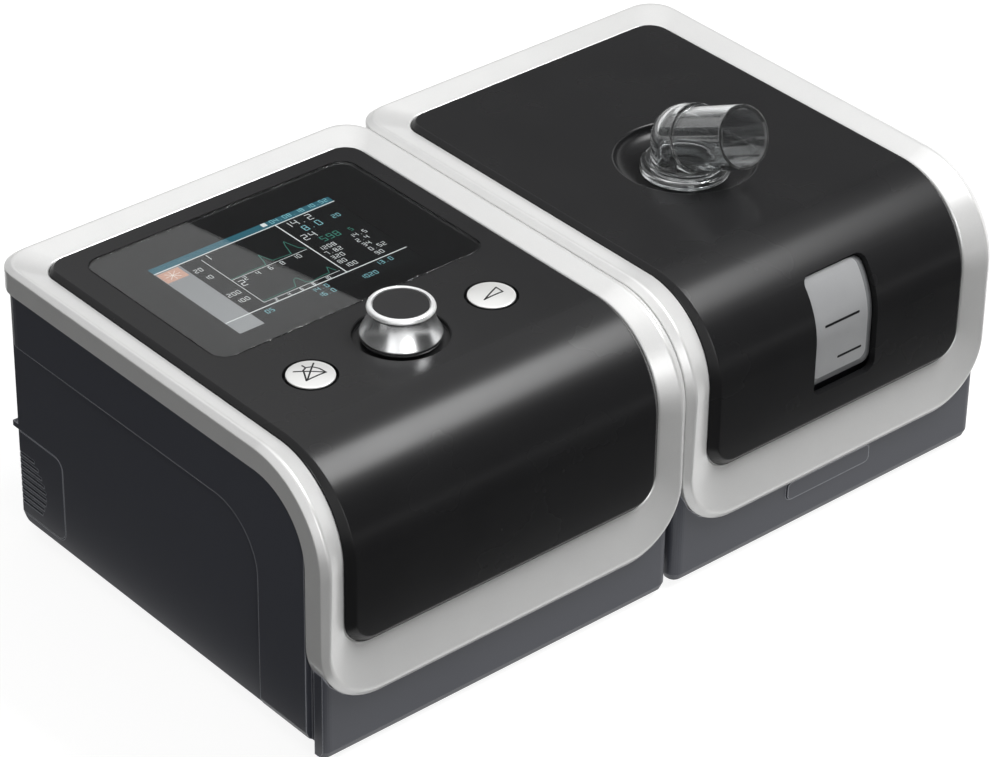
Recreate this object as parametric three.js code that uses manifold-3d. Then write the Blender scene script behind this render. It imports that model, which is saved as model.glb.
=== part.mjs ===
// Bilevel positive airway pressure machine: a flow generator with a colour display,
// docked to a heated humidifier. Millimetres, +Z up. X runs across the front, -Y is
// the front, and the origin is on the table under the middle.

import * as THREE from 'three';
import { mergeVertices } from 'three/addons/utils/BufferGeometryUtils.js';
import Module from 'manifold-3d';

const wasm = await Module();
wasm.setup();

// Driving dimensions

const overallWidth = 290;
const mainWidth = 149.2;
const dockGap = 0.4;
const bezelDepth = 172.4;
const faceTop = 103.5;
const bendRadius = 31.45;
const footStand = 1.5;
const bellyRise = 4.5;

// Clearance between neighbours, overrun of a cutting tool, and the distance under which corners are welded

const fit = 0.3;
const overrun = 6;
const weld = 0.0001;

// Bezel: the silver ring that runs round the top and down over the front of each module

const ridgeRise = 2.3;
const ridgeInset = 2.4;
const ridgeLand = 1;
const shoulderRise = 0.7;
const innerLip = 0.5;
const skirtDrop = 7.1;
const skirtWall = 2.2;
const mainBandWidth = 10.2;
const humidBandWidth = 11.6;
const backBandWidth = 11.5;
const bezelBottom = 21.2;
const panelBottom = 40.4;
const bezelFrontRadius = 23;
const bezelBackRadius = 11;
const panelFrontRadius = 11;
const panelBackRadius = 9;
const innerEdgeTop = 0;
const innerEdgeFront = -0.7;
const ledgeWidth = 4;
const ledgeWall = 1.8;

// Panel: the gloss black cover inside the bezel, raised on a bevel that grows down the front

const panelRise = 1.4;
const panelWall = 2.6;
const bevelTop = 1.6;
const bevelFront = 2.9;
const footTop = -0.2;
const footFront = -0.9;

// Casings under the bezels

const casingInset = 2.7;
const collarInset = 0.6;
const mainDockInset = 3.2;
const humidDockOutset = 1.4;
const casingFrontRadius = 4;
const casingBackRadius = 9.5;
const casingEdge = 3.5;
const casingEdgeStepShare = 0.3;
const casingWall = 3;
const floorWall = 4.5;

const sideRecess = 1.4;
const sideRecessAboveBend = 4.65;
const sideRecessRadius = 21;
const seamSetback = 7.7;
const seamWidth = 2.5;
const seamDepth = 1.2;
const noseInset = 1.2;

// Facets of round forms

const bendSteps = 10;
const cornerSteps = 5;
const roundSides = 24;
const plainSides = 20;
const smallSides = 12;
const arcSegments = 4;
const recessSegments = 9;

// Places worked out from the driving dimensions

const half = 2;
const quarterTurn = Math.PI / half;
const faceFront = -bezelDepth / half + ridgeRise;
const bezelBack = bezelDepth / half;
const bendY = faceFront + bendRadius;
const bendZ = faceTop - bendRadius;
const bendLength = bendRadius * quarterTurn;
const panelTop = faceTop + panelRise;
const panelUnder = panelTop - panelWall;
const panelUnderRise = panelRise - panelWall;
const mainLeft = -overallWidth / half;
const mainRight = mainLeft + mainWidth;
const humidLeft = mainRight + dockGap;
const humidRight = overallWidth / half;
const mainCentre = (mainLeft + mainRight) / half;
const humidCentre = (humidLeft + humidRight) / half;
const casingFront = -bezelDepth / half + casingInset;
const casingBack = bezelDepth / half - casingInset;
const casingTop = faceTop - skirtDrop - fit;
const underside = footStand + bellyRise;
const casingFloor = underside + floorWall;
const panelBack = bezelBack - backBandWidth;
const sideRecessFront = bendY;
const sideRecessTop = bendZ + sideRecessAboveBend;
const seamBack = casingFront + seamSetback;
const seamFront = seamBack - seamWidth;

// Solids: closed meshes that can be joined and cut

function signedVolume(position, index) {
  const a = new THREE.Vector3();
  const b = new THREE.Vector3();
  const c = new THREE.Vector3();
  let sum = 0;
  for (let i = 0; i < index.length; i += 3) {
    a.fromBufferAttribute(position, index[i]);
    b.fromBufferAttribute(position, index[i + 1]);
    c.fromBufferAttribute(position, index[i + 2]);
    sum += a.dot(b.cross(c));
  }
  return sum;
}

function solid(geometry) {
  const bare = geometry.clone();
  bare.deleteAttribute('normal');
  bare.deleteAttribute('uv');
  const merged = mergeVertices(bare, weld);
  const index = [];
  for (let i = 0; i < merged.index.count; i += 3) {
    const corners = [0, 1, 2].map((k) => merged.index.getX(i + k));
    if (new Set(corners).size === 3) index.push(...corners);
  }
  if (signedVolume(merged.attributes.position, index) < 0) index.reverse();
  const vertProperties = new Float32Array(merged.attributes.position.array);
  const triVerts = new Uint32Array(index);
  return new wasm.Manifold(new wasm.Mesh({ numProp: 3, vertProperties, triVerts }));
}

function geometryOf(body) {
  const mesh = body.getMesh();
  const geometry = new THREE.BufferGeometry();
  geometry.setAttribute('position', new THREE.BufferAttribute(mesh.vertProperties, 3));
  geometry.setIndex(new THREE.BufferAttribute(mesh.triVerts, 1));
  geometry.computeVertexNormals();
  return geometry;
}

const join = (...bodies) => bodies.reduce((sum, body) => sum.add(body));
const cut = (body, ...tools) => tools.reduce((rest, tool) => rest.subtract(tool), body);

function block(x0, x1, y0, y1, z0, z1) {
  const geometry = new THREE.BoxGeometry(x1 - x0, y1 - y0, z1 - z0);
  return solid(geometry.translate((x0 + x1) / half, (y0 + y1) / half, (z0 + z1) / half));
}

// Turned solid about a vertical axis: the profile's points are [radius, height]

function turned(profile, x, y, sides = roundSides) {
  const points = profile.map(([radius, height]) => new THREE.Vector2(radius, height));
  const geometry = new THREE.LatheGeometry(points, sides);
  return solid(geometry.rotateX(quarterTurn).translate(x, y, 0));
}

function post(radius, low, high, x, y, sides = smallSides) {
  return turned([[0, low], [radius, low], [radius, high], [0, high]], x, y, sides);
}

function sleeve(outer, inner, low, high, x, y, sides = roundSides) {
  const bore = post(inner, low - overrun, high + overrun, x, y, sides);
  return cut(post(outer, low, high, x, y, sides), bore);
}

// Round bar between two points

function bar(radius, from, to, sides = smallSides) {
  const along = new THREE.Vector3().subVectors(to, from);
  const geometry = new THREE.CylinderGeometry(radius, radius, along.length(), sides);
  const upright = new THREE.Vector3(0, 1, 0);
  const turn = new THREE.Quaternion().setFromUnitVectors(upright, along.clone().normalize());
  geometry.applyQuaternion(turn);
  const middle = from.clone().add(to).divideScalar(half);
  return solid(geometry.translate(middle.x, middle.y, middle.z));
}

// Rectangle outline with its own radius at each corner, named by low or high X and low or high Y

function roundedShape(x0, x1, y0, y1, radii) {
  const shape = new THREE.Shape();
  const corner = (x, y, radius, start) => {
    shape.absarc(x, y, radius, start, start + quarterTurn, false);
  };
  corner(x0 + radii.lowLow, y0 + radii.lowLow, radii.lowLow, Math.PI);
  corner(x1 - radii.highLow, y0 + radii.highLow, radii.highLow, Math.PI + quarterTurn);
  corner(x1 - radii.highHigh, y1 - radii.highHigh, radii.highHigh, 0);
  corner(x0 + radii.lowHigh, y1 - radii.lowHigh, radii.lowHigh, quarterTurn);
  return shape;
}

const evenRadii = (radius) => ({ lowLow: radius, highLow: radius, highHigh: radius, lowHigh: radius });

// Outline in X and Y, raised along Z

function raised(shape, low, high, curveSegments = arcSegments) {
  const depth = high - low;
  const geometry = new THREE.ExtrudeGeometry(shape, { depth, bevelEnabled: false, curveSegments });
  return solid(geometry.translate(0, 0, low));
}

// Outline in Y and Z, run along X

function across(shape, low, high, curveSegments = arcSegments) {
  const depth = high - low;
  const geometry = new THREE.ExtrudeGeometry(shape, { depth, bevelEnabled: false, curveSegments });
  const turn = new THREE.Matrix4().makeBasis(
    new THREE.Vector3(0, 1, 0),
    new THREE.Vector3(0, 0, 1),
    new THREE.Vector3(1, 0, 0),
  );
  return solid(geometry.applyMatrix4(turn).translate(low, 0, 0));
}

// Outline in X and Z, run along Y

function through(shape, low, high, curveSegments = arcSegments) {
  const depth = high - low;
  const geometry = new THREE.ExtrudeGeometry(shape, { depth, bevelEnabled: false, curveSegments });
  return solid(geometry.rotateX(quarterTurn).translate(0, high, 0));
}

// Skin over rows of points: the rows either close into a loop or end in flat convex caps

function loft(rows, closed) {
  const count = rows[0].length;
  const positions = rows.flat().flatMap((point) => point.toArray());
  const index = [];
  const spans = closed ? rows.length : rows.length - 1;
  for (let i = 0; i < spans; i += 1) {
    const here = i * count;
    const next = ((i + 1) % rows.length) * count;
    for (let j = 0; j < count; j += 1) {
      const k = (j + 1) % count;
      index.push(here + j, next + j, next + k, here + j, next + k, here + k);
    }
  }
  if (!closed) {
    const last = (rows.length - 1) * count;
    for (let j = 1; j < count - 1; j += 1) {
      index.push(0, j, j + 1, last, last + j + 1, last + j);
    }
  }
  const geometry = new THREE.BufferGeometry();
  geometry.setAttribute('position', new THREE.Float32BufferAttribute(positions, 3));
  geometry.setIndex(index);
  return solid(geometry);
}

// The face: flat on top, bent over the front edge and flat down the front.
// A place on it is X, the run along the face from the start of the bend, and the rise above it.

function onFace(x, run, rise) {
  if (run <= 0) return new THREE.Vector3(x, bendY - run, faceTop + rise);
  if (run >= bendLength) return new THREE.Vector3(x, faceFront - rise, bendZ - (run - bendLength));
  const angle = run / bendRadius;
  const radius = bendRadius + rise;
  return new THREE.Vector3(x, bendY - radius * Math.sin(angle), bendZ + radius * Math.cos(angle));
}

const runAtHeight = (z) => bendLength + bendZ - z;
const runAtDepth = (y) => bendY - y;

// Share of the way from the top of the bend to its foot, eased at both ends

function downShare(run) {
  return THREE.MathUtils.smoothstep(run, 0, bendLength);
}

// Outlines on the face: rounded rectangles in X and run

function grown(outline, by) {
  return {
    left: outline.left - by,
    right: outline.right + by,
    back: outline.back - by,
    front: outline.front + by,
    backRadius: Math.max(outline.backRadius + by, weld),
    frontRadius: Math.max(outline.frontRadius + by, weld),
  };
}

function spanAt(outline, run) {
  const intoBack = Math.max(outline.back + outline.backRadius - run, 0);
  const intoFront = Math.max(run - outline.front + outline.frontRadius, 0);
  const into = Math.max(intoBack, intoFront);
  const radius = intoBack > 0 ? outline.backRadius : outline.frontRadius;
  const inset = into > 0 ? radius - Math.sqrt(Math.max(radius * radius - into * into, 0)) : 0;
  return [outline.left + inset, outline.right - inset];
}

function runsOf(outline, ...extra) {
  const runs = [outline.back, outline.front, ...extra];
  for (let i = 1; i <= cornerSteps; i += 1) {
    const rise = 1 - Math.cos((quarterTurn * i) / cornerSteps);
    runs.push(outline.back + outline.backRadius * rise, outline.front - outline.frontRadius * rise);
  }
  for (let i = 0; i <= bendSteps; i += 1) runs.push((bendLength * i) / bendSteps);
  const inside = runs.filter((run) => run >= outline.back && run <= outline.front);
  inside.sort((a, b) => a - b);
  return inside.filter((run, i) => i === 0 || run - inside[i - 1] > weld);
}

// Slab that follows the face within an outline, between two rises

function slabOnFace(outline, low, high) {
  const rows = runsOf(outline).map((run) => {
    const [left, right] = spanAt(outline, run);
    const corners = [[left, low], [right, low], [right, high], [left, high]];
    return corners.map(([x, rise]) => onFace(x, run, rise));
  });
  return loft(rows, false);
}

function bezelOutline(left, right) {
  return {
    left,
    right,
    back: runAtDepth(bezelBack),
    front: runAtHeight(bezelBottom),
    backRadius: bezelBackRadius,
    frontRadius: bezelFrontRadius,
  };
}

function panelOutline(left, right, bandWidth) {
  return {
    left: left + bandWidth,
    right: right - bandWidth,
    back: runAtDepth(panelBack),
    front: runAtHeight(panelBottom),
    backRadius: panelBackRadius,
    frontRadius: panelFrontRadius,
  };
}

// Bezel ring

function cornerPoint(outline, side, end, angle) {
  const radius = end > 0 ? outline.frontRadius : outline.backRadius;
  const x = side < 0 ? outline.left + radius : outline.right - radius;
  const run = end > 0 ? outline.front - radius : outline.back + radius;
  return new THREE.Vector2(x + radius * Math.cos(angle), run + radius * Math.sin(angle));
}

function bezelStations(outer, inner) {
  const stations = [];
  const addSide = (side) => {
    for (let i = 0; i <= bendSteps; i += 1) {
      const run = (bendLength * (side < 0 ? i : bendSteps - i)) / bendSteps;
      const x = (outline) => (side < 0 ? outline.left : outline.right);
      stations.push([new THREE.Vector2(x(outer), run), new THREE.Vector2(x(inner), run)]);
    }
  };
  const addCorner = (side, end, start) => {
    for (let i = 0; i <= cornerSteps; i += 1) {
      const angle = start - (quarterTurn * i) / cornerSteps;
      stations.push([cornerPoint(outer, side, end, angle), cornerPoint(inner, side, end, angle)]);
    }
  };
  addSide(-1);
  addCorner(-1, 1, Math.PI);
  addCorner(1, 1, quarterTurn);
  addSide(1);
  addCorner(1, -1, 0);
  addCorner(-1, -1, -quarterTurn);
  return stations;
}

function bezelSection(width, edgeRise) {
  const ledgeTop = panelUnderRise - fit;
  const ledgeUnder = ledgeTop - ledgeWall;
  return [
    [0, -skirtDrop],
    [0, shoulderRise],
    [ridgeInset, ridgeRise],
    [ridgeInset + ridgeLand, ridgeRise],
    [width - innerLip, edgeRise],
    [width, edgeRise - innerLip],
    [width, ledgeTop],
    [width + ledgeWidth, ledgeTop],
    [width + ledgeWidth, ledgeUnder],
    [skirtWall, ledgeUnder],
    [skirtWall, -skirtDrop],
  ];
}

function bezel(left, right, bandWidth) {
  const stations = bezelStations(bezelOutline(left, right), panelOutline(left, right, bandWidth));
  const rows = stations.map(([outer, inner]) => {
    const width = outer.distanceTo(inner);
    const edgeRise = THREE.MathUtils.lerp(innerEdgeTop, innerEdgeFront, downShare(inner.y));
    return bezelSection(width, edgeRise).map(([fromOuter, rise]) => {
      const place = outer.clone().lerp(inner, fromOuter / width);
      return onFace(place.x, place.y, rise);
    });
  });
  return loft(rows, true);
}

// Panel: its edge stands on a bevel all round

function panel(left, right, bandWidth) {
  const outline = grown(panelOutline(left, right, bandWidth), -fit);
  const runs = runsOf(outline, outline.back + bevelTop, outline.front - bevelFront);
  const rows = runs.map((run) => {
    const share = downShare(run);
    const bevel = THREE.MathUtils.lerp(bevelTop, bevelFront, share);
    const foot = THREE.MathUtils.lerp(footTop, footFront, share);
    const inset = Math.min(bevel, run - outline.back, outline.front - run);
    const crown = THREE.MathUtils.lerp(foot, panelRise, inset / bevel);
    const [footLeft, footRight] = spanAt(outline, run);
    const [crownLeft, crownRight] = spanAt(grown(outline, -inset), run);
    return [
      onFace(footLeft, run, panelUnderRise),
      onFace(footRight, run, panelUnderRise),
      onFace(footRight, run, foot),
      onFace(crownRight, run, crown),
      onFace(crownLeft, run, crown),
      onFace(footLeft, run, foot),
    ];
  });
  return loft(rows, false);
}

// Casing block: a rounded tray form with softened bottom edges, and a lip under its front that reaches lower

function casingRow(left, right, inset, z) {
  const front = casingFront + inset;
  const back = casingBack - inset;
  const frontRadius = Math.max(casingFrontRadius - inset, fit);
  const backRadius = Math.max(casingBackRadius - inset, fit);
  const radii = { lowLow: frontRadius, highLow: frontRadius, highHigh: backRadius, lowHigh: backRadius };
  const shape = roundedShape(left + inset, right - inset, front, back, radii);
  return shape.getPoints(arcSegments).map((point) => new THREE.Vector3(point.x, point.y, z));
}

function tray(left, right, low, top) {
  const step = casingEdge * casingEdgeStepShare;
  const rows = [
    casingRow(left, right, casingEdge - step, low),
    casingRow(left, right, step, low + step),
    casingRow(left, right, 0, low + casingEdge),
    casingRow(left, right, 0, top),
  ];
  return loft(rows, false);
}

function casingBlock(left, right, top) {
  const lipTop = underside + casingEdge + casingEdge;
  const behindLip = block(left - overrun, right + overrun, seamFront, casingBack + overrun, 0, top);
  return join(tray(left, right, underside, top), cut(tray(left, right, footStand, lipTop), behindLip));
}

// Space that a bezel and panel take out of the casings

function bezelSpace(left, right) {
  const outline = grown(bezelOutline(left, right), fit);
  outline.back -= overrun;
  return slabOnFace(outline, -skirtDrop - fit, bendRadius);
}

// Lower side area, set back behind a step that follows the bend, on the outer flank of a module

function sideRecessTool(outer, inward) {
  const surface = outer + inward * sideRecess;
  const outside = outer - inward * overrun;
  const shape = new THREE.Shape();
  shape.moveTo(casingBack + overrun, 0);
  shape.lineTo(sideRecessFront, 0);
  shape.absarc(
    sideRecessFront + sideRecessRadius,
    sideRecessTop - sideRecessRadius,
    sideRecessRadius,
    Math.PI,
    quarterTurn,
    true,
  );
  shape.lineTo(casingBack + overrun, sideRecessTop);
  return across(shape, Math.min(surface, outside), Math.max(surface, outside), recessSegments);
}

// Upright seam near the front of a flank, and the nose in front of it that is a little narrower

function seamTools(outer, inward) {
  const slot = (front, back, depth) => {
    const surface = outer + inward * depth;
    const outside = outer - inward * overrun;
    return block(Math.min(surface, outside), Math.max(surface, outside), front, back, 0, casingTop);
  };
  return [
    slot(seamFront, seamBack, seamDepth + noseInset),
    slot(casingFront - overrun, seamFront, noseInset),
  ];
}

// Rubber feet, in shallow pockets near the corners of each casing

const footRadius = 7;
const footEdge = 0.8;
const footPocket = 2.2;
const footInsetX = 20;
const footInsetY = 20;

function footPlaces(left, right) {
  const xs = [left + footInsetX, right - footInsetX];
  const ys = [casingFront + footInsetY, casingBack - footInsetY];
  return xs.flatMap((x) => ys.map((y) => [x, y]));
}

function foot(x, y) {
  const top = underside + footPocket - fit;
  return turned(
    [[0, 0], [footRadius - footEdge, 0], [footRadius, footEdge], [footRadius, top], [0, top]],
    x,
    y,
    smallSides,
  );
}

function footPockets(left, right) {
  return footPlaces(left, right).map(([x, y]) => {
    return post(footRadius + fit, underside - overrun, underside + footPocket, x, y);
  });
}

// Air inlet at the rear of the left flank: a louvred cap over a foam filter

const mainCasingLeft = mainLeft + collarInset;
const mainCasingRight = mainRight - mainDockInset;
const mainSide = mainCasingLeft + sideRecess;

const capLength = 29.1;
const capLift = 3.5;
const capHeight = 32.3;
const capRadius = 4;
const capWall = 2.2;
const capReach = 8;
const louvreCount = 9;
const louvreLift = 4.5;
const louvreSpread = 19;
const louvreGap = 1.1;
const louvreSetback = 13;
const louvreEnd = 2.9;
const louvreCurve = 3.4;
const louvreReach = 7;
const bayWall = 2.4;
const bayDepth = 16;
const filterSetback = 5.6;
const filterEnd = 10.5;
const filterLift = 4;
const filterDrop = 3.3;
const filterDepth = 12;

const capFront = casingBack - capLength;
const capBottom = underside + capLift;
const capTop = capBottom + capHeight;
const louvreLow = capBottom + louvreLift;
const louvreHigh = louvreLow + louvreSpread;
const louvreFront = capFront + louvreSetback;
const louvreBack = casingBack - louvreEnd;
const filterFront = capFront + filterSetback;
const filterBack = casingBack - filterEnd;
const filterBottom = capBottom + filterLift;
const filterTop = capTop - filterDrop;

function capShape(grow) {
  const radii = evenRadii(capRadius + grow);
  return roundedShape(capFront - grow, casingBack + overrun + grow, capBottom - grow, capTop + grow, radii);
}

const capEdge = mainSide + capReach;

function capBody() {
  const skin = cut(
    casingBlock(mainCasingLeft, mainCasingRight, casingTop),
    sideRecessTool(mainCasingLeft, 1),
  );
  const patch = skin.intersect(across(capShape(0), mainLeft - overrun, capEdge));
  const inset = sideRecess + capWall;
  const core = loft(
    [
      casingRow(mainCasingLeft, mainCasingRight, inset, 0),
      casingRow(mainCasingLeft, mainCasingRight, inset, casingTop),
    ],
    false,
  );
  return cut(patch, core);
}

function louvreSlots() {
  const pitch = (louvreHigh - louvreLow) / (louvreCount - 1);
  const slots = [];
  for (let i = 0; i < louvreCount; i += 1) {
    const z = louvreLow + pitch * i;
    const share = (z - louvreLow) / (louvreHigh - louvreLow);
    const front = louvreFront - louvreCurve * Math.sin(Math.PI * share) + louvreCurve * share * share;
    const middle = louvreGap / half;
    slots.push(block(mainLeft - overrun, mainSide + louvreReach, front, louvreBack, z - middle, z + middle));
  }
  return slots;
}

function filterCap() {
  return cut(capBody(), ...louvreSlots());
}

function capRecess() {
  const inset = sideRecess + capWall + fit;
  const core = loft(
    [
      casingRow(mainCasingLeft, mainCasingRight, inset, 0),
      casingRow(mainCasingLeft, mainCasingRight, inset, casingTop),
    ],
    false,
  );
  return cut(across(capShape(fit), mainLeft - overrun, capEdge + fit), core);
}

function filterBay() {
  return block(
    mainCasingLeft + sideRecess,
    mainSide + bayDepth,
    filterFront - fit - bayWall,
    casingBack - sideRecess,
    casingFloor - fit,
    capTop + bayWall,
  );
}

function filterSpace() {
  return block(
    mainLeft - overrun,
    mainSide + bayDepth + overrun,
    filterFront - fit,
    filterBack + fit,
    filterBottom - fit,
    filterTop + fit,
  );
}

function airFilter() {
  const face = mainSide + capWall + fit;
  return block(face, face + filterDepth, filterFront, filterBack, filterBottom, filterTop);
}

// Blower: a volute on three legs over its motor, with a curved-blade impeller

const blowerFromLeft = 52.4;
const blowerFromBack = 61.5;
const motorRadius = 17;
const motorHeight = 15;
const motorWaist = 2;
const shaftRadius = 2;
const voluteWall = 2.2;
const voluteHeight = 26;
const voluteStart = 30;
const voluteGrowth = 13;
const voluteSteps = 20;
const voluteMouthLength = 28;
const inletRadius = 13;
const inletCollar = 2;
const inletRise = 4;
const impellerRadius = 25;
const impellerPlate = 1.6;
const impellerGap = 2;
const hubRadius = 7;
const hubHeight = 13;
const bladeCount = 9;
const bladeHeight = 12;
const bladeThickness = 1.3;
const bladeTurnShare = 0.16;
const bladeSteps = 3;
const legRadius = 3.5;
const legCircle = 27;
const legCount = 3;

const blowerX = mainCasingLeft + blowerFromLeft;
const blowerY = casingBack - blowerFromBack;
const motorBottom = casingFloor + fit;
const motorTop = motorBottom + motorHeight;
const voluteBottom = motorTop + fit;
const voluteTop = voluteBottom + voluteHeight;
const voluteMouthOuter = voluteStart + voluteGrowth;
const voluteMouthX = blowerX + voluteMouthLength;
const ductRadius = (voluteHeight - voluteWall) / half - fit;
const ductCentreY = blowerY + voluteMouthOuter - voluteWall - ductRadius;
const ductCentreZ = voluteBottom + voluteHeight / half;

// Spiral that grows once round, opening towards +X at its high side

function spiralShape(offset) {
  const shape = new THREE.Shape();
  for (let i = 0; i <= voluteSteps; i += 1) {
    const share = i / voluteSteps;
    const angle = quarterTurn - Math.PI * half * (1 - share);
    const radius = voluteStart + voluteGrowth * share - offset;
    const x = blowerX - radius * Math.cos(angle);
    const y = blowerY + radius * Math.sin(angle);
    if (i === 0) shape.moveTo(x, y);
    else shape.lineTo(x, y);
  }
  return shape;
}

function voluteMouth(offset, low, high, length) {
  const outer = blowerY + voluteMouthOuter - offset;
  const inner = ductCentreY - ductRadius - voluteWall + offset;
  return block(blowerX, voluteMouthX + length, inner, outer, low, high);
}

function blowerLegs() {
  const legs = [];
  for (let i = 0; i < legCount; i += 1) {
    const angle = (Math.PI * half * i) / legCount;
    const x = blowerX + legCircle * Math.cos(angle);
    const y = blowerY + legCircle * Math.sin(angle);
    legs.push(post(legRadius, casingFloor - fit, voluteBottom - fit, x, y, smallSides));
  }
  return legs;
}

function blowerHousing() {
  const inletTop = voluteTop + inletRise;
  const inletLow = voluteTop - voluteWall;
  const shell = join(
    raised(spiralShape(0), voluteBottom, voluteTop),
    voluteMouth(0, voluteBottom, voluteTop, 0),
    post(inletRadius + inletCollar, inletLow, inletTop, blowerX, blowerY, plainSides),
  );
  return cut(
    shell,
    raised(spiralShape(voluteWall), voluteBottom + voluteWall, voluteTop - voluteWall),
    voluteMouth(voluteWall, voluteBottom + voluteWall, voluteTop - voluteWall, overrun),
    post(inletRadius, inletLow - fit, inletTop + overrun, blowerX, blowerY, plainSides),
    post(shaftRadius + fit, voluteBottom - overrun, voluteBottom + overrun, blowerX, blowerY),
  );
}

function bladeShape(turn) {
  const shape = new THREE.Shape();
  const place = (share, side) => {
    const radius = hubRadius - bladeThickness + (impellerRadius - fit - hubRadius + bladeThickness) * share;
    const angle = turn - Math.PI * half * bladeTurnShare * share * share;
    const spread = (side * bladeThickness) / half / radius;
    return [blowerX + radius * Math.cos(angle + spread), blowerY + radius * Math.sin(angle + spread)];
  };
  for (let i = 0; i <= bladeSteps; i += 1) {
    const point = place(i / bladeSteps, -1);
    if (i === 0) shape.moveTo(...point);
    else shape.lineTo(...point);
  }
  for (let i = bladeSteps; i >= 0; i -= 1) shape.lineTo(...place(i / bladeSteps, 1));
  return shape;
}

function impeller() {
  const low = voluteBottom + voluteWall + impellerGap;
  const blades = [];
  for (let i = 0; i < bladeCount; i += 1) {
    const turn = (Math.PI * half * i) / bladeCount;
    blades.push(raised(bladeShape(turn), low, low + impellerPlate + bladeHeight));
  }
  return join(
    post(impellerRadius, low, low + impellerPlate, blowerX, blowerY, roundSides),
    turned(
      [[0, low], [hubRadius, low], [shaftRadius, low + hubHeight], [0, low + hubHeight]],
      blowerX,
      blowerY,
      plainSides,
    ),
    post(shaftRadius, motorBottom + motorHeight / half, low + impellerPlate, blowerX, blowerY),
    ...blades,
  );
}

function blowerMotor() {
  const waistTop = motorTop - motorWaist;
  const can = turned(
    [
      [0, motorBottom],
      [motorRadius - motorWaist, motorBottom],
      [motorRadius, motorBottom + motorWaist],
      [motorRadius, waistTop],
      [motorRadius - motorWaist, motorTop],
      [0, motorTop],
    ],
    blowerX,
    blowerY,
    plainSides,
  );
  const bore = post(
    shaftRadius + fit,
    motorBottom + motorHeight / half - fit,
    motorTop + overrun,
    blowerX,
    blowerY,
  );
  return cut(can, bore);
}

// Air outlet: a duct from the volute's mouth through the docking wall, and the seal between the modules

const ductWall = 1.8;
const sealRim = 3;

function ductPort(x0, x1) {
  const from = new THREE.Vector3(x0, ductCentreY, ductCentreZ);
  const to = new THREE.Vector3(x1, ductCentreY, ductCentreZ);
  return bar(ductRadius + fit, from, to, plainSides);
}

function alongX(radius, x0, x1, y, z, sides = plainSides) {
  return bar(radius, new THREE.Vector3(x0, y, z), new THREE.Vector3(x1, y, z), sides);
}

function outletDuct() {
  const start = voluteMouthX + fit;
  const outer = alongX(ductRadius, start, mainCasingRight, ductCentreY, ductCentreZ);
  const end = mainCasingRight + overrun;
  const bore = alongX(ductRadius - ductWall, start - overrun, end, ductCentreY, ductCentreZ);
  return cut(outer, bore);
}

const humidCasingLeft = humidLeft - humidDockOutset;
const humidCasingRight = humidRight - collarInset;

function portSeal() {
  const x0 = mainCasingRight + fit;
  const x1 = humidCasingLeft - fit;
  const outer = alongX(ductRadius + sealRim, x0, x1, ductCentreY, ductCentreZ);
  const bore = alongX(ductRadius - ductWall, x0 - overrun, x1 + overrun, ductCentreY, ductCentreZ);
  return cut(outer, bore);
}

// Main circuit board on four posts, with its tallest parts

const boardWidth = 44;
const boardLength = 80;
const boardFromRight = 9;
const boardFromFront = 21.5;
const boardWall = 1.6;
const boardPostHeight = 8;
const boardPostRadius = 3;
const boardPostInset = 5;
const capacitorRadius = 5;
const capacitorHeight = 14;
const capacitorInset = 16;
const chipSize = 14;
const chipHeight = 2;
const connectorWidth = 24;
const connectorDepth = 6;
const connectorHeight = 9;

const boardRight = mainCasingRight - boardFromRight;
const boardLeft = boardRight - boardWidth;
const boardFront = casingFront + boardFromFront;
const boardBack = boardFront + boardLength;
const boardBottom = casingFloor + boardPostHeight;
const boardTop = boardBottom + boardWall;

function boardPosts() {
  const xs = [boardLeft + boardPostInset, boardRight - boardPostInset];
  const ys = [boardFront + boardPostInset, boardBack - boardPostInset];
  return xs.flatMap((x) => ys.map((y) => post(boardPostRadius, casingFloor - fit, boardBottom - fit, x, y)));
}

function mainBoard() {
  const centreX = (boardLeft + boardRight) / half;
  const centreY = (boardFront + boardBack) / half;
  const sunk = boardWall / half;
  const low = boardTop - sunk;
  const capacitorTop = boardTop + capacitorHeight;
  const chip = chipSize / half;
  const plug = connectorWidth / half;
  return join(
    block(boardLeft, boardRight, boardFront, boardBack, boardBottom, boardTop),
    post(capacitorRadius, low, capacitorTop, boardLeft + capacitorInset, boardBack - capacitorInset),
    post(capacitorRadius, low, capacitorTop, boardRight - capacitorInset, boardBack - capacitorInset),
    block(centreX - chip, centreX + chip, centreY - chip, centreY + chip, low, boardTop + chipHeight),
    block(
      centreX - plug,
      centreX + plug,
      boardFront + boardPostInset,
      boardFront + boardPostInset + connectorDepth,
      low,
      boardTop + connectorHeight,
    ),
  );
}

// Direct-current inlet in the back wall: a barrel socket in a square body

const socketFromRight = 41;
const socketLift = 20.5;
const socketSize = 15;
const socketLength = 16;
const socketBore = 4.4;
const socketBoreDepth = 12;
const socketPin = 1.1;
const socketPinLength = 6;

const socketX = mainCasingRight - socketFromRight;
const socketZ = underside + socketLift;
const socketFront = casingBack - socketLength;

function socketBody(grow, front, back) {
  const edge = socketSize / half + grow;
  return block(socketX - edge, socketX + edge, front, back, socketZ - edge, socketZ + edge);
}

function alongY(radius, y0, y1, x, z, sides = smallSides) {
  return bar(radius, new THREE.Vector3(x, y0, z), new THREE.Vector3(x, y1, z), sides);
}

function powerSocket() {
  const boreEnd = casingBack - socketBoreDepth;
  return join(
    cut(
      socketBody(0, socketFront, casingBack),
      alongY(socketBore, boreEnd, casingBack + overrun, socketX, socketZ),
    ),
    alongY(socketPin, boreEnd - socketPinLength / half, boreEnd + socketPinLength, socketX, socketZ),
  );
}

function socketShelf() {
  const edge = socketSize / half;
  return block(
    socketX - edge,
    socketX + edge,
    socketFront,
    casingBack - casingWall / half,
    casingFloor - fit,
    socketZ - edge - fit,
  );
}

// Memory card slot beside the inlet

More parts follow.
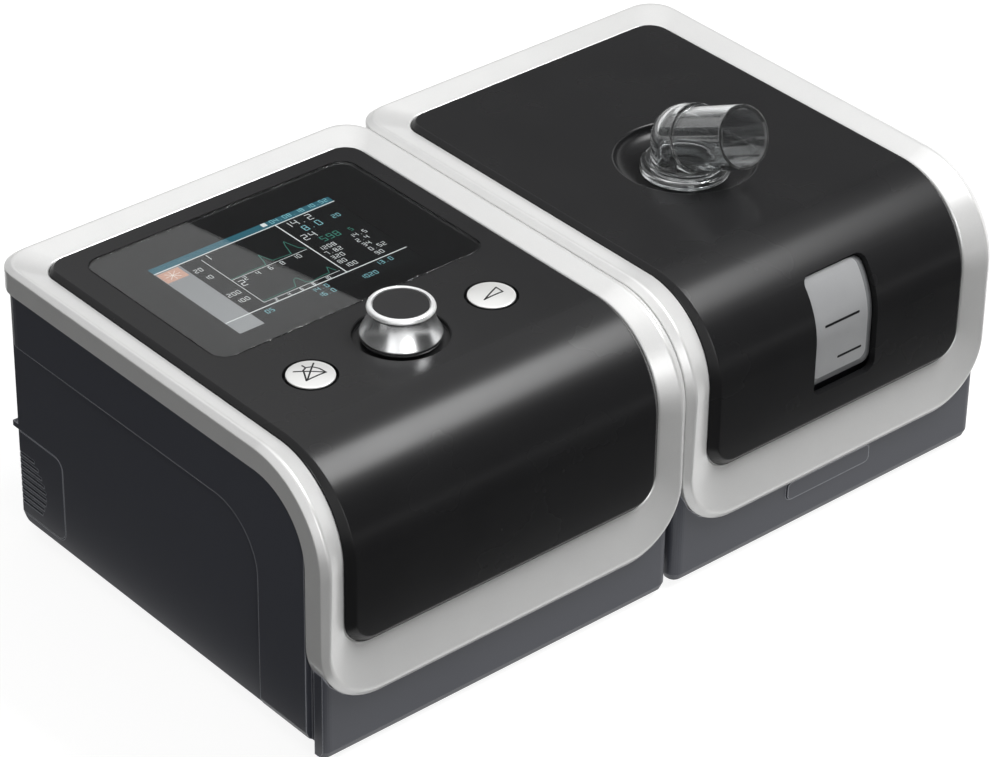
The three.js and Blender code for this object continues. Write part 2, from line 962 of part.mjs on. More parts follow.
const cardFromSocket = 38;
const cardWidth = 26;
const cardHeight = 3;

const cardX = socketX - cardFromSocket;
const cardZ = socketZ;

function cardSlot() {
  return block(
    cardX - cardWidth / half,
    cardX + cardWidth / half,
    casingBack - casingWall - overrun,
    casingBack + overrun,
    cardZ - cardHeight / half,
    cardZ + cardHeight / half,
  );
}

// Main casing

function casingHollow(left, right) {
  const hollowFront = faceFront + skirtDrop + fit + casingWall;
  const radii = evenRadii(casingFrontRadius);
  const hollowBack = casingBack - casingWall;
  const shape = roundedShape(left + casingWall, right - casingWall, hollowFront, hollowBack, radii);
  return raised(shape, casingFloor, faceTop + overrun);
}

function mainBase() {
  const shell = cut(
    casingBlock(mainCasingLeft, mainCasingRight, casingTop + overrun),
    casingHollow(mainCasingLeft, mainCasingRight),
  );
  const full = join(shell, filterBay(), ...blowerLegs(), ...boardPosts(), socketShelf());
  return cut(
    full,
    sideRecessTool(mainCasingLeft, 1),
    ...seamTools(mainCasingLeft, 1),
    bezelSpace(mainLeft, mainRight),
    capRecess(),
    filterSpace(),
    ductPort(mainCasingRight - casingWall - overrun, mainCasingRight + overrun),
    socketBody(fit, socketFront - fit, casingBack + overrun),
    cardSlot(),
    ...footPockets(mainCasingLeft, mainCasingRight),
  );
}

// Display: a flush lens over the screen module

const lensWidth = 108.4;
const lensLength = 74.4;
const lensFromBack = 9;
const lensLean = 0.95;
const lensRadius = 6;
const lensWall = 1;
const screenWidth = 75.6;
const screenLength = 50.6;
const screenFromLeft = 13.8;
const screenFromBack = 15;
const screenDepth = 6;
const screenFlange = 3;
const screenFlangeWall = 1.6;

const lensLeft = mainCentre + lensLean - lensWidth / half;
const lensRight = lensLeft + lensWidth;
const lensBack = panelBack - lensFromBack;
const lensFront = lensBack - lensLength;
const lensUnder = panelTop - lensWall;
const screenLeft = lensLeft + screenFromLeft;
const screenRight = screenLeft + screenWidth;
const screenBack = lensBack - screenFromBack;
const screenFront = screenBack - screenLength;

function lensSlab(grow, low, high) {
  const radii = evenRadii(lensRadius + grow);
  const front = lensFront - grow;
  const back = lensBack + grow;
  return raised(roundedShape(lensLeft - grow, lensRight + grow, front, back, radii), low, high);
}

function screenSlab(grow, low, high) {
  return block(screenLeft - grow, screenRight + grow, screenFront - grow, screenBack + grow, low, high);
}

function screenModule() {
  const top = lensUnder - fit;
  const flangeTop = panelUnder - fit;
  return join(
    screenSlab(0, top - screenDepth, top),
    screenSlab(screenFlange, flangeTop - screenFlangeWall, flangeTop),
  );
}

// Controls: a rotary knob that also presses, and a button at each side of it

const buttonFromLens = 23.7;
const knobFromLens = 23;
const buttonOffset = 36.7;
const buttonRadius = 7.9;
const buttonGap = 0.7;
const buttonCrown = 0.8;
const buttonEdge = 0.3;
const buttonFlange = 1.5;
const buttonFlangeWall = 1.2;
const buttonStem = 2;
const buttonStemLength = 1.4;
const buttonTravel = 1;
const crownSteps = 2;
const controlY = lensFront - buttonFromLens;
const knobY = lensFront - knobFromLens;
const buttonPlaces = [mainCentre - buttonOffset, mainCentre + buttonOffset];

const knobRecessRadius = 15.6;
const knobRecessDepth = 1.8;
const knobTravel = 0.6;
const knobBaseRadius = 13.4;
const knobBaseEdge = 0.7;
const knobUnderRise = 2;
const knobFlankRise = 3.8;
const knobFlankBulge = 0.3;
const knobWaistRadius = 10.9;
const knobWaistRise = 10.3;
const knobTopRadius = 11.3;
const knobHeight = 12.4;
const knobTopEdge = 0.9;
const knobTopBevel = 2;
const knobDish = 0.7;
const knobCoreRadius = 5;
const knobSkirtWall = 1.8;
const insertWall = 0.5;
const shaftReach = 5;
const encoderShaftRadius = 2.3;
const rotorWall = 1.1;
const encoderSize = 13.4;
const encoderHeight = 5.4;
const rotorRise = 1.6;

const controlBoardWall = 1.6;
const controlBoardDrop = 8;
const controlBoardReach = 11.6;
const controlBoardShort = 6.4;
const controlBoardInset = 12;
const controlPostRadius = 2.6;
const controlPostInset = 4;
const switchSize = 6;
const switchGap = 0.3;

const controlBoardFront = controlY - controlBoardReach;
const controlBoardBack = lensBack - controlBoardShort;
const controlBoardTop = panelUnder - controlBoardDrop;
const knobBottom = panelTop - knobRecessDepth + knobTravel + fit;
const knobTop = knobBottom + knobHeight;
const stemBottom = panelUnder - fit - buttonFlangeWall - buttonStemLength;

function button(x) {
  const flangeTop = panelUnder - fit;
  const flangeBottom = flangeTop - buttonFlangeWall;
  const rim = panelTop + buttonEdge;
  const profile = [
    [0, stemBottom],
    [buttonStem, stemBottom],
    [buttonStem, flangeBottom],
    [buttonRadius + buttonFlange, flangeBottom],
    [buttonRadius + buttonFlange, flangeTop],
    [buttonRadius, flangeTop],
    [buttonRadius, rim - buttonEdge],
    [buttonRadius - buttonEdge, rim],
  ];
  for (let i = 1; i <= crownSteps; i += 1) {
    const share = i / crownSteps;
    const radius = (buttonRadius - buttonEdge) * (1 - share);
    profile.push([radius, rim + (buttonCrown - buttonEdge) * (1 - (1 - share) * (1 - share))]);
  }
  return turned(profile, x, controlY, roundSides);
}

function knobOutside() {
  const neck = knobBottom + knobWaistRise;
  const flankMiddle = knobBottom + (knobFlankRise + knobWaistRise) / half;
  return [
    [knobBaseRadius - knobBaseEdge, knobBottom],
    [knobBaseRadius, knobBottom + knobUnderRise],
    [knobBaseRadius, knobBottom + knobFlankRise],
    [(knobBaseRadius + knobWaistRadius) / half + knobFlankBulge, flankMiddle],
    [knobWaistRadius, neck],
    [knobTopRadius, knobTop - knobTopEdge],
    [knobTopRadius - knobTopEdge / half, knobTop],
    [knobTopRadius - knobTopBevel, knobTop - knobDish / half],
    [knobTopRadius - knobTopBevel, knobTop - knobDish - insertWall],
    [0, knobTop - knobDish - insertWall],
  ];
}

function knob() {
  const ceiling = knobTop - knobDish - insertWall - knobSkirtWall;
  const body = turned([[0, knobBottom], ...knobOutside()], mainCentre, knobY);
  const hollow = turned(
    [
      [knobCoreRadius, knobBottom - overrun],
      [knobBaseRadius - knobSkirtWall - knobBaseEdge, knobBottom - overrun],
      [knobBaseRadius - knobSkirtWall - knobBaseEdge, knobBottom + knobBaseEdge],
      [knobWaistRadius - knobSkirtWall, ceiling],
      [knobCoreRadius, ceiling],
      [knobCoreRadius, knobBottom - overrun],
    ],
    mainCentre,
    knobY,
    plainSides,
  );
  const bore = post(
    encoderShaftRadius + fit,
    knobBottom - overrun,
    knobBottom + shaftReach + fit,
    mainCentre,
    knobY,
  );
  return cut(body, hollow, bore);
}

function knobInsert() {
  const low = knobTop - knobDish - insertWall + fit;
  return post(knobTopRadius - knobTopBevel - fit, low, low + insertWall, mainCentre, knobY, roundSides);
}

function encoderShaft() {
  const low = controlBoardTop + knobTravel + fit;
  return post(encoderShaftRadius, low, knobBottom + shaftReach, mainCentre, knobY);
}

function encoderRotor() {
  const outer = encoderShaftRadius + fit + rotorWall;
  const low = controlBoardTop + fit;
  const high = controlBoardTop + encoderHeight + rotorRise;
  return sleeve(outer, encoderShaftRadius + fit, low, high, mainCentre, knobY, smallSides);
}

function encoderBody() {
  const edge = encoderSize / half;
  const low = controlBoardTop + fit;
  const high = controlBoardTop + encoderHeight;
  const body = block(mainCentre - edge, mainCentre + edge, knobY - edge, knobY + edge, low, high);
  const hole = encoderShaftRadius + rotorWall + fit + fit;
  const bore = post(hole, low - overrun, high + overrun, mainCentre, knobY);
  return cut(body, bore);
}

function controlPostPlaces() {
  const left = mainLeft + mainBandWidth + controlBoardInset + controlPostInset;
  const right = mainRight - mainBandWidth - controlBoardInset - controlPostInset;
  const ys = [controlBoardFront + controlPostInset, controlBoardBack + controlPostInset];
  return [[left, ys[0]], [right, ys[0]], [left, ys[1]], [right, ys[1]]];
}

function controlBoard() {
  const left = mainLeft + mainBandWidth + controlBoardInset;
  const right = mainRight - mainBandWidth - controlBoardInset;
  const back = controlBoardBack + controlPostInset + controlPostInset;
  const edge = switchSize / half;
  const switches = buttonPlaces.map((x) => {
    const high = stemBottom - buttonTravel - switchGap;
    const low = controlBoardTop - controlBoardWall / half;
    return block(x - edge, x + edge, controlY - edge, controlY + edge, low, high);
  });
  return join(
    block(left, right, controlBoardFront, back, controlBoardTop - controlBoardWall, controlBoardTop),
    ...switches,
  );
}

// Main panel, with the pockets for the lens, screen, knob and buttons and the posts for the control board

function mainPanel() {
  const posts = controlPostPlaces().map(([x, y]) => {
    return post(controlPostRadius, controlBoardTop + fit, panelUnder + panelWall / half, x, y);
  });
  const buttonHoles = buttonPlaces.map((x) => {
    return post(buttonRadius + buttonGap, panelUnder - overrun, panelTop + overrun, x, controlY, roundSides);
  });
  const shaftHole = encoderShaftRadius + rotorWall + fit + fit;
  return cut(
    join(panel(mainLeft, mainRight, mainBandWidth), ...posts),
    lensSlab(fit, lensUnder - fit, panelTop + overrun),
    screenSlab(fit, panelUnder - overrun, panelTop),
    post(knobRecessRadius, panelTop - knobRecessDepth, panelTop + overrun, mainCentre, knobY, roundSides),
    post(shaftHole, panelUnder - overrun, panelTop, mainCentre, knobY),
    ...buttonHoles,
  );
}

// Humidifier tub: a heater plate in its floor, and the hinge at the back of its rim

const tubLift = 22.5;
const tubWall = 5;
const tubBackWall = 9.5;
const tubRadius = 8;
const heaterFromSide = 13.6;
const heaterWall = 3;
const heaterSink = 2;
const hingeFromBack = 3.7;
const hingeDrop = 10.5;
const knuckleRadius = 3.3;
const knuckleLength = 14;
const hingeFromSide = 30.2;
const pinRadius = 1.5;
const pinLength = 24;
const neckBack = 0.4;
const neckRise = 5;

const latchWidth = 38.3;
const latchHeight = 6.9;
const latchDrop = 0.5;
const latchProud = 0.6;
const latchThick = 6;
const latchTravel = 2;
const latchRadius = 2;
const latchLean = -1.3;

const tubFloor = underside + tubLift;
const hingeY = bezelBack - hingeFromBack;
const hingeZ = faceTop - hingeDrop;
const latchTop = bezelBottom - latchDrop;
const latchBottom = latchTop - latchHeight;
const hingePlaces = [humidLeft + hingeFromSide, humidRight - hingeFromSide];
const tubFront = faceFront + skirtDrop + fit + tubWall;
const tubBack = casingBack - tubBackWall;
const tubCentreY = (tubFront + tubBack) / half;
const tubWidth = humidCasingRight - humidCasingLeft - tubWall - tubWall;
const heaterRadius = Math.min(tubWidth, tubBack - tubFront) / half - heaterFromSide;

function tubHollow() {
  const shape = roundedShape(
    humidCasingLeft + tubWall,
    humidCasingRight - tubWall,
    tubFront,
    tubBack,
    evenRadii(tubRadius),
  );
  return raised(shape, tubFloor, faceTop + overrun);
}

function heaterPlate() {
  const low = tubFloor - heaterSink;
  return post(heaterRadius, low + fit, low + heaterWall, humidCentre, tubCentreY, roundSides);
}

function hingeNotch(x) {
  const end = knuckleLength / half + fit;
  const round = alongX(knuckleRadius + fit + fit, x - end, x + end, hingeY, hingeZ, smallSides);
  const slot = block(
    x - end,
    x + end,
    hingeY - fit - fit,
    casingBack + overrun,
    hingeZ - knuckleRadius - fit - fit,
    casingTop + overrun,
  );
  return join(round, slot);
}

function hingePin(x) {
  const reach = pinLength / half;
  return alongX(pinRadius, x - reach, x + reach, hingeY, hingeZ, smallSides);
}

function pinHole(x) {
  const reach = pinLength / half + fit;
  return alongX(pinRadius + fit, x - reach, x + reach, hingeY, hingeZ, smallSides);
}

const latchCentre = humidCentre + latchLean;

function latchShape(grow) {
  const reach = latchWidth / half + grow;
  return roundedShape(
    latchCentre - reach,
    latchCentre + reach,
    latchBottom - grow,
    latchTop + grow,
    evenRadii(latchRadius + grow),
  );
}

function latchButton() {
  return through(latchShape(0), casingFront - latchProud, casingFront - latchProud + latchThick);
}

function latchPocket() {
  const depth = casingFront - latchProud + latchThick + latchTravel + fit;
  return through(latchShape(fit), casingFront - overrun, depth);
}

function humidBase() {
  return cut(
    casingBlock(humidCasingLeft, humidCasingRight, casingTop + overrun),
    tubHollow(),
    sideRecessTool(humidCasingRight, -1),
    ...seamTools(humidCasingRight, -1),
    bezelSpace(humidLeft, humidRight),
    bezelSpace(mainLeft, mainRight),
    post(heaterRadius + fit, tubFloor - heaterSink, tubFloor + fit, humidCentre, tubCentreY, roundSides),
    ...hingePlaces.flatMap((x) => [hingeNotch(x), pinHole(x)]),
    latchPocket(),
    ductPort(humidCasingLeft - overrun, humidCasingLeft + tubWall + overrun),
    ...footPockets(humidCasingLeft, humidCasingRight),
  );
}

// Water chamber: a clear tub on a metal heat-transfer disc, under a cover with its inlet and outlet necks

const outletFromBend = 46.25;
const chamberGap = 3;
const chamberWall = 2.2;
const chamberDrop = 27;
const chamberRadius = 7;
const chamberPlateInset = 2;
const chamberPlateWall = 1.4;
const coverWall = 2.2;
const neckOuter = 13;
const neckInner = 10.5;
const neckDrop = 13;
const inletNeckFromLeft = 24.8;
const inletNeckHeight = 4;

const outletX = humidCentre;
const outletY = bendY + outletFromBend;
const chamberPlateRadius = heaterRadius - chamberPlateInset;
const chamberTop = faceTop - chamberDrop;
const neckTop = faceTop - neckDrop;
const inletNeckX = humidCasingLeft + inletNeckFromLeft;
const chamberPlateBottom = tubFloor - heaterSink + heaterWall + fit;
const chamberBottom = chamberPlateBottom + chamberPlateWall + fit;

function chamberShape(inset) {
  const gap = chamberGap + inset;
  return roundedShape(
    humidCasingLeft + tubWall + gap,
    humidCasingRight - tubWall - gap,
    tubFront + gap,
    tubBack - gap,
    evenRadii(Math.max(chamberRadius - inset, fit)),
  );
}

function chamberPlate() {
  const high = chamberPlateBottom + chamberPlateWall;
  return post(chamberPlateRadius, chamberPlateBottom, high, humidCentre, tubCentreY, roundSides);
}

function waterChamber() {
  return cut(
    raised(chamberShape(0), chamberBottom, chamberTop),
    raised(chamberShape(chamberWall), chamberBottom + chamberWall, chamberTop + overrun),
  );
}

function chamberCover() {
  const low = chamberTop + fit;
  const high = low + coverWall;
  return cut(
    join(
      raised(chamberShape(0), low, high),
      post(neckOuter, high - coverWall / half, neckTop, outletX, outletY, plainSides),
      post(neckOuter, high - coverWall / half, high + inletNeckHeight, inletNeckX, outletY, plainSides),
    ),
    post(neckInner, low - overrun, neckTop + overrun, outletX, outletY, plainSides),
    post(neckInner, low - overrun, neckTop + overrun, inletNeckX, outletY, plainSides),
  );
}

// Lid: bezel with hinge knuckles, panel with a dish and a window, inner liner and outlet seal

const dishRadius = 24.2;
const dishFloorRadius = 17;
const dishDepth = 5;
const dishWall = 1.8;
const dishSteps = 4;
const linerDrop = 7.3;
const linerWall = 1.8;
const linerInset = 2;
const linerFromBend = 6.45;
const linerRadius = 6;
const sealWall = 3.6;

const windowWidth = 28.3;
const windowFromCentre = 12.6;
const windowLift = 12.4;
const windowTopAngleShare = 0.51;
const windowRadius = 3.5;
const windowSill = 2.2;
const windowWall = 2;
const windowSink = 1.5;

const linerFront = bendY + linerFromBend;
const windowLeft = humidCentre - windowFromCentre;
const windowRight = windowLeft + windowWidth;
const windowBottom = panelBottom + windowLift;
const dishFloor = panelTop - dishDepth;
const linerTop = faceTop - linerDrop;
const elbowNeck = 11.8;

function lidKnuckle(x) {
  const end = knuckleLength / half;
  const round = alongX(knuckleRadius, x - end, x + end, hingeY, hingeZ, smallSides);
  const neck = block(x - end, x + end, hingeY, bezelBack - neckBack, hingeZ, hingeZ + neckRise);
  return cut(join(round, neck), pinHole(x));
}

function lidBezel() {
  return join(bezel(humidLeft, humidRight, humidBandWidth), ...hingePlaces.map(lidKnuckle));
}

function dishProfile(wall, lift) {
  const profile = [[0, dishFloor - wall]];
  for (let i = 0; i <= dishSteps; i += 1) {
    const angle = (quarterTurn * i) / dishSteps;
    const radius = dishFloorRadius + (dishRadius - dishFloorRadius) * Math.sin(angle) + wall;
    profile.push([radius, dishFloor + dishDepth * (1 - Math.cos(angle)) - wall]);
  }
  profile.push([dishRadius + wall, panelTop + lift], [0, panelTop + lift]);
  return profile;
}

const windowOutline = {
  left: windowLeft,
  right: windowRight,
  back: bendLength * windowTopAngleShare,
  front: runAtHeight(windowBottom),
  backRadius: windowRadius,
  frontRadius: windowRadius,
};

function lidPanel() {
  const bowl = turned(dishProfile(dishWall, -panelWall / half), outletX, outletY);
  return cut(
    join(panel(humidLeft, humidRight, humidBandWidth), bowl),
    turned(dishProfile(0, overrun), outletX, outletY),
    post(elbowNeck + fit, dishFloor - dishWall - overrun, panelTop, outletX, outletY, roundSides),
    slabOnFace(windowOutline, panelUnderRise - overrun, panelRise + overrun),
  );
}

function waterWindow() {
  const pane = grown(windowOutline, -fit);
  pane.front -= windowSill;
  const high = panelRise - windowSink;
  return slabOnFace(pane, high - windowWall, high);
}

function lidLiner() {
  const left = humidLeft + humidBandWidth + ledgeWidth + linerInset;
  const right = humidRight - humidBandWidth - ledgeWidth - linerInset;
  const back = bezelBack - backBandWidth - ledgeWidth - linerInset;
  const shape = (inset) => {
    const radii = evenRadii(linerRadius - inset);
    return roundedShape(left + inset, right - inset, linerFront + inset, back - inset, radii);
  };
  return cut(
    raised(shape(0), linerTop - linerWall, panelUnder - fit),
    raised(shape(linerWall), linerTop, panelUnder + overrun),
    post(neckInner, linerTop - linerWall - overrun, linerTop + overrun, outletX, outletY, plainSides),
  );
}

function lidSeal() {
  const low = neckTop + fit;
  const high = linerTop - linerWall - fit;
  return sleeve(neckInner + sealWall, neckInner, low, high, outletX, outletY, plainSides);
}

// Swivel elbow: a clear riser that turns in its collar, and a 22 mm outlet for the breathing hose

const collarRadius = 15.4;
const collarHeight = 2.9;
const elbowFlange = 1.9;
const elbowFlangeWall = 1.3;
const elbowRetainer = 1.4;
const elbowRetainerWall = 0.9;
const elbowBore = 9.7;
const elbowCrownRadius = 12.2;
const elbowRise = 6.8;
const elbowTilt = 25;
const elbowStep = 6.3;
const outletRadius = 11;
const outletLength = 30.3;
const outletBore = 9.5;
const sphereRings = 8;

const elbowCentreZ = panelTop + elbowRise;

function elbowCollar() {
  const low = dishFloor + fit;
  const edge = fit + fit;
  const body = turned(
    [
      [0, low],
      [collarRadius, low],
      [collarRadius, low + collarHeight - edge],
      [collarRadius - edge, low + collarHeight],
      [0, low + collarHeight],
    ],
    outletX,
    outletY,
  );
  const high = low + collarHeight;
  return cut(body, post(elbowNeck + fit, low - overrun, high + overrun, outletX, outletY, roundSides));
}

function ball(radius) {
  const geometry = new THREE.SphereGeometry(radius, roundSides, sphereRings);
  return solid(geometry.rotateX(quarterTurn).translate(outletX, outletY, elbowCentreZ));
}

function elbow() {
  const centre = new THREE.Vector3(outletX, outletY, elbowCentreZ);
  const tilt = THREE.MathUtils.degToRad(elbowTilt);
  const along = new THREE.Vector3(0, -Math.cos(tilt), Math.sin(tilt));
  const at = (distance) => centre.clone().addScaledVector(along, distance);
  const flangeLow = dishFloor + fit + collarHeight + fit;
  const retainerHigh = dishFloor - dishWall - fit;
  const bottom = retainerHigh - elbowRetainerWall;
  const outside = join(
    post(elbowNeck, bottom, elbowCentreZ, outletX, outletY, roundSides),
    post(elbowNeck + elbowFlange, flangeLow, flangeLow + elbowFlangeWall, outletX, outletY, roundSides),
    post(elbowNeck + elbowRetainer, bottom, retainerHigh, outletX, outletY, roundSides),
    ball(elbowCrownRadius),
    bar(elbowCrownRadius, centre, at(elbowStep), roundSides),
    bar(outletRadius, centre, at(outletLength), roundSides),
  );
  return cut(
    outside,
    post(elbowBore, bottom - overrun, elbowCentreZ, outletX, outletY, roundSides),
    bar(outletBore, centre, at(outletLength + overrun), roundSides),
  );
}

// Finishes

const finish = (color, roughness, metalness = 0) => ({ color, roughness, metalness });
const silver = finish('#cfcfcf', 0.35, 0.3);
const glossBlack = finish('#1b1b1c', 0.2);
const darkCasing = finish('#34353a', 0.55);
const softBlack = finish('#151515', 0.8);
const polishedMetal = finish('#c9cacc', 0.2, 1);
const steel = finish('#a9abad', 0.35, 1);
const circuitGreen = finish('#20533a', 0.6);
const paleSilver = finish('#dcdcda', 0.4);
const clear = finish('#dfe6ea', 0.08);
const smoke = finish('#8d8f92', 0.25);
const foam = finish('#55585c', 0.95);
const ivory = finish('#d8d8d2', 0.5);
const screenGlass = finish('#101418', 0.1);

const machine = new THREE.Group();

function add(name, body, look) {
  const material = new THREE.MeshStandardMaterial({ ...look, flatShading: true });
  const mesh = new THREE.Mesh(geometryOf(body), material);
  mesh.name = name;
  machine.add(mesh);
}

// Flow generator

add('main_base', mainBase(), darkCasing);
add('main_bezel', bezel(mainLeft, mainRight, mainBandWidth), silver);
add('main_panel', mainPanel(), glossBlack);
add('display_lens', lensSlab(0, lensUnder, panelTop), screenGlass);
add('screen_module', screenModule(), screenGlass);
add('control_board', controlBoard(), circuitGreen);
add('encoder_body', encoderBody(), steel);
add('encoder_rotor', encoderRotor(), softBlack);
add('encoder_shaft', encoderShaft(), steel);
add('knob', knob(), polishedMetal);
add('knob_insert', knobInsert(), glossBlack);
add('mute_button', button(buttonPlaces[0]), paleSilver);
add('ramp_button', button(buttonPlaces[1]), paleSilver);
add('filter_cap', filterCap(), darkCasing);
add('air_filter', airFilter(), foam);
add('blower_housing', blowerHousing(), ivory);
add('impeller', impeller(), ivory);
add('blower_motor', blowerMotor(), steel);
add('outlet_duct', outletDuct(), ivory);
add('port_seal', portSeal(), softBlack);
add('main_board', mainBoard(), circuitGreen);
add('power_socket', powerSocket(), softBlack);
footPlaces(mainCasingLeft, mainCasingRight).forEach(([x, y], i) => {
  add(`main_foot_${i + 1}`, foot(x, y), softBlack);
});

// Heated humidifier

add('humidifier_base', humidBase(), darkCasing);
add('heater_plate', heaterPlate(), steel);
add('chamber_plate', chamberPlate(), steel);
add('water_chamber', waterChamber(), clear);
add('chamber_cover', chamberCover(), clear);
hingePlaces.forEach((x, i) => add(`hinge_pin_${i + 1}`, hingePin(x), steel));
add('latch_button', latchButton(), darkCasing);
footPlaces(humidCasingLeft, humidCasingRight).forEach(([x, y], i) => {
  add(`humidifier_foot_${i + 1}`, foot(x, y), softBlack);
});
add('lid_bezel', lidBezel(), silver);
add('lid_panel', lidPanel(), glossBlack);
add('lid_liner', lidLiner(), smoke);
add('lid_seal', lidSeal(), softBlack);
add('water_window', waterWindow(), smoke);
add('elbow_collar', elbowCollar(), clear);
add('elbow', elbow(), clear);

export default machine;
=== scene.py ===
# Looks of a bilevel positive airway pressure machine with a docked humidifier.
# Metres, +Z up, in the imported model's own frame.

import math

import bmesh
import bpy
from mathutils import Matrix, Vector


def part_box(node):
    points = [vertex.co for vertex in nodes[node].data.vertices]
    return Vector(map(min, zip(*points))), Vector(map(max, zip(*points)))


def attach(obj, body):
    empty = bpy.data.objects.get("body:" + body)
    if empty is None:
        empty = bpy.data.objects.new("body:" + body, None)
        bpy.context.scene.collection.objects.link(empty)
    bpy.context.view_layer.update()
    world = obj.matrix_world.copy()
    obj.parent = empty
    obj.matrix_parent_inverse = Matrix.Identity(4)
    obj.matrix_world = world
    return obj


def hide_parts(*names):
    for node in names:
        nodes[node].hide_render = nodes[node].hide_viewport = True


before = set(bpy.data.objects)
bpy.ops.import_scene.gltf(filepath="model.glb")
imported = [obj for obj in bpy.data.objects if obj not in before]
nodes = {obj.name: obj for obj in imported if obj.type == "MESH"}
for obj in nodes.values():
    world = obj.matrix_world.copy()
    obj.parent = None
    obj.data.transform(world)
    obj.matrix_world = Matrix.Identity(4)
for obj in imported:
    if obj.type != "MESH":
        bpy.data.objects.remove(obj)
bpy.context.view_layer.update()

# Camera and room: the photograph's angle over a plain pale table top in front of a
# white sweep. Soft boxes give even studio light, and black cards round the machine,
# seen only in reflections, keep the lens, the covers and the knob's flank deep.

MM = 0.001
IMAGE_WIDTH = 1000
FOCAL_PIXELS = 3943.988
SENSOR = 36.0
CAMERA_PLACE = Vector((-733.25, -839.59, 770.76)) * MM
CAMERA_AZIMUTH = math.radians(-41.084)
CAMERA_ELEVATION = math.radians(33.144)
CAMERA_ROLL = math.radians(0.998)
CLIP_NEAR = 0.05
CLIP_FAR = 30

level = math.cos(CAMERA_ELEVATION)
back = Vector((
    math.sin(CAMERA_AZIMUTH) * level,
    -math.cos(CAMERA_AZIMUTH) * level,
    math.sin(CAMERA_ELEVATION),
))
side = (-back).cross(Vector((0, 0, 1))).normalized()
above = side.cross(-back)
right = side * math.cos(CAMERA_ROLL) + above * math.sin(CAMERA_ROLL)
up = above * math.cos(CAMERA_ROLL) - side * math.sin(CAMERA_ROLL)

camera = bpy.data.objects.new("camera", bpy.data.cameras.new("camera"))
bpy.context.collection.objects.link(camera)
camera.data.sensor_width = SENSOR
camera.data.lens = FOCAL_PIXELS / IMAGE_WIDTH * SENSOR
camera.data.clip_start = CLIP_NEAR
camera.data.clip_end = CLIP_FAR
facing = Matrix((right, up, back)).transposed().to_4x4()
camera.matrix_world = Matrix.Translation(CAMERA_PLACE) @ facing
bpy.context.scene.camera = camera
bpy.context.scene.view_settings.view_transform = "Standard"


def linear(code):
    """An sRGB hex colour as linear red, green, blue and alpha."""
    parts = [int(code[i:i + 2], 16) / 255 for i in (1, 3, 5)]
    return [c / 12.92 if c <= 0.04045 else ((c + 0.055) / 1.055) ** 2.4 for c in parts] + [1]


def add_node(tree, kind, values=None, links=None, **settings):
    """One shader node with its settings, its socket values and what is plugged into it."""
    node = tree.nodes.new(kind)
    for name, value in settings.items():
        setattr(node, name, value)
    for socket, value in (values or {}).items():
        node.inputs[socket].default_value = value
    for socket, source in (links or {}).items():
        tree.links.new(source, node.inputs[socket])
    return node


def seen_directly(tree):
    """1 for rays from the camera, from a gloss or through a clear wall, and 0 for others."""
    path = add_node(tree, "ShaderNodeLightPath")
    gloss = add_node(tree, "ShaderNodeMath", operation="MAXIMUM", links={
        0: path.outputs["Is Camera Ray"], 1: path.outputs["Is Glossy Ray"]})
    either = add_node(tree, "ShaderNodeMath", operation="MAXIMUM", links={
        0: gloss.outputs[0], 1: path.outputs["Is Transmission Ray"]})
    return either.outputs[0]


ROOM_LIGHT = 0.15
FLOOR_SIZE = 8.0
FLOOR_COLOUR = "#8f8f8e"
FLOOR_GLOW = 0.88

world = bpy.data.worlds.new("white_sweep")
bpy.context.scene.world = world
world.use_nodes = True
sky = world.node_tree
sky.nodes.clear()
sweep = add_node(sky, "ShaderNodeBackground", {"Color": linear("#ffffff"), "Strength": 1.0})
fill = add_node(sky, "ShaderNodeBackground", {"Color": linear("#ffffff"), "Strength": ROOM_LIGHT})
both = add_node(sky, "ShaderNodeMixShader", links={
    0: seen_directly(sky), 1: fill.outputs[0], 2: sweep.outputs[0]})
add_node(sky, "ShaderNodeOutputWorld", links={0: both.outputs[0]})


def new_piece(name, points, faces):
    """A mesh object of that name, its faces turned outward."""
    mesh = bpy.data.meshes.new(name)
    mesh.from_pydata([tuple(p) for p in points], [], faces)
    work = bmesh.new()
    work.from_mesh(mesh)
    bmesh.ops.recalc_face_normals(work, faces=work.faces)
    work.to_mesh(mesh)
    work.free()
    piece = bpy.data.objects.new(name, mesh)
    bpy.context.collection.objects.link(piece)
    return piece


reach = FLOOR_SIZE / 2
floor_corners = [(-reach, -reach, 0), (reach, -reach, 0), (reach, reach, 0), (-reach, reach, 0)]
floor = new_piece("table_top", floor_corners, [(0, 1, 2, 3)])
table = bpy.data.materials.new("table_top_matt_laminate")
table.use_nodes = True
tree = table.node_tree
tree.nodes.clear()
matt = add_node(tree, "ShaderNodeBsdfDiffuse", {"Color": linear(FLOOR_COLOUR)})
pale = add_node(tree, "ShaderNodeEmission", {"Color": linear("#ffffff"), "Strength": FLOOR_GLOW})
lit = add_node(tree, "ShaderNodeAddShader", links={0: matt.outputs[0], 1: pale.outputs[0]})
mixed = add_node(tree, "ShaderNodeMixShader", links={
    0: seen_directly(tree), 1: matt.outputs[0], 2: lit.outputs[0]})
add_node(tree, "ShaderNodeOutputMaterial", links={0: mixed.outputs[0]})
floor.data.materials.append(table)


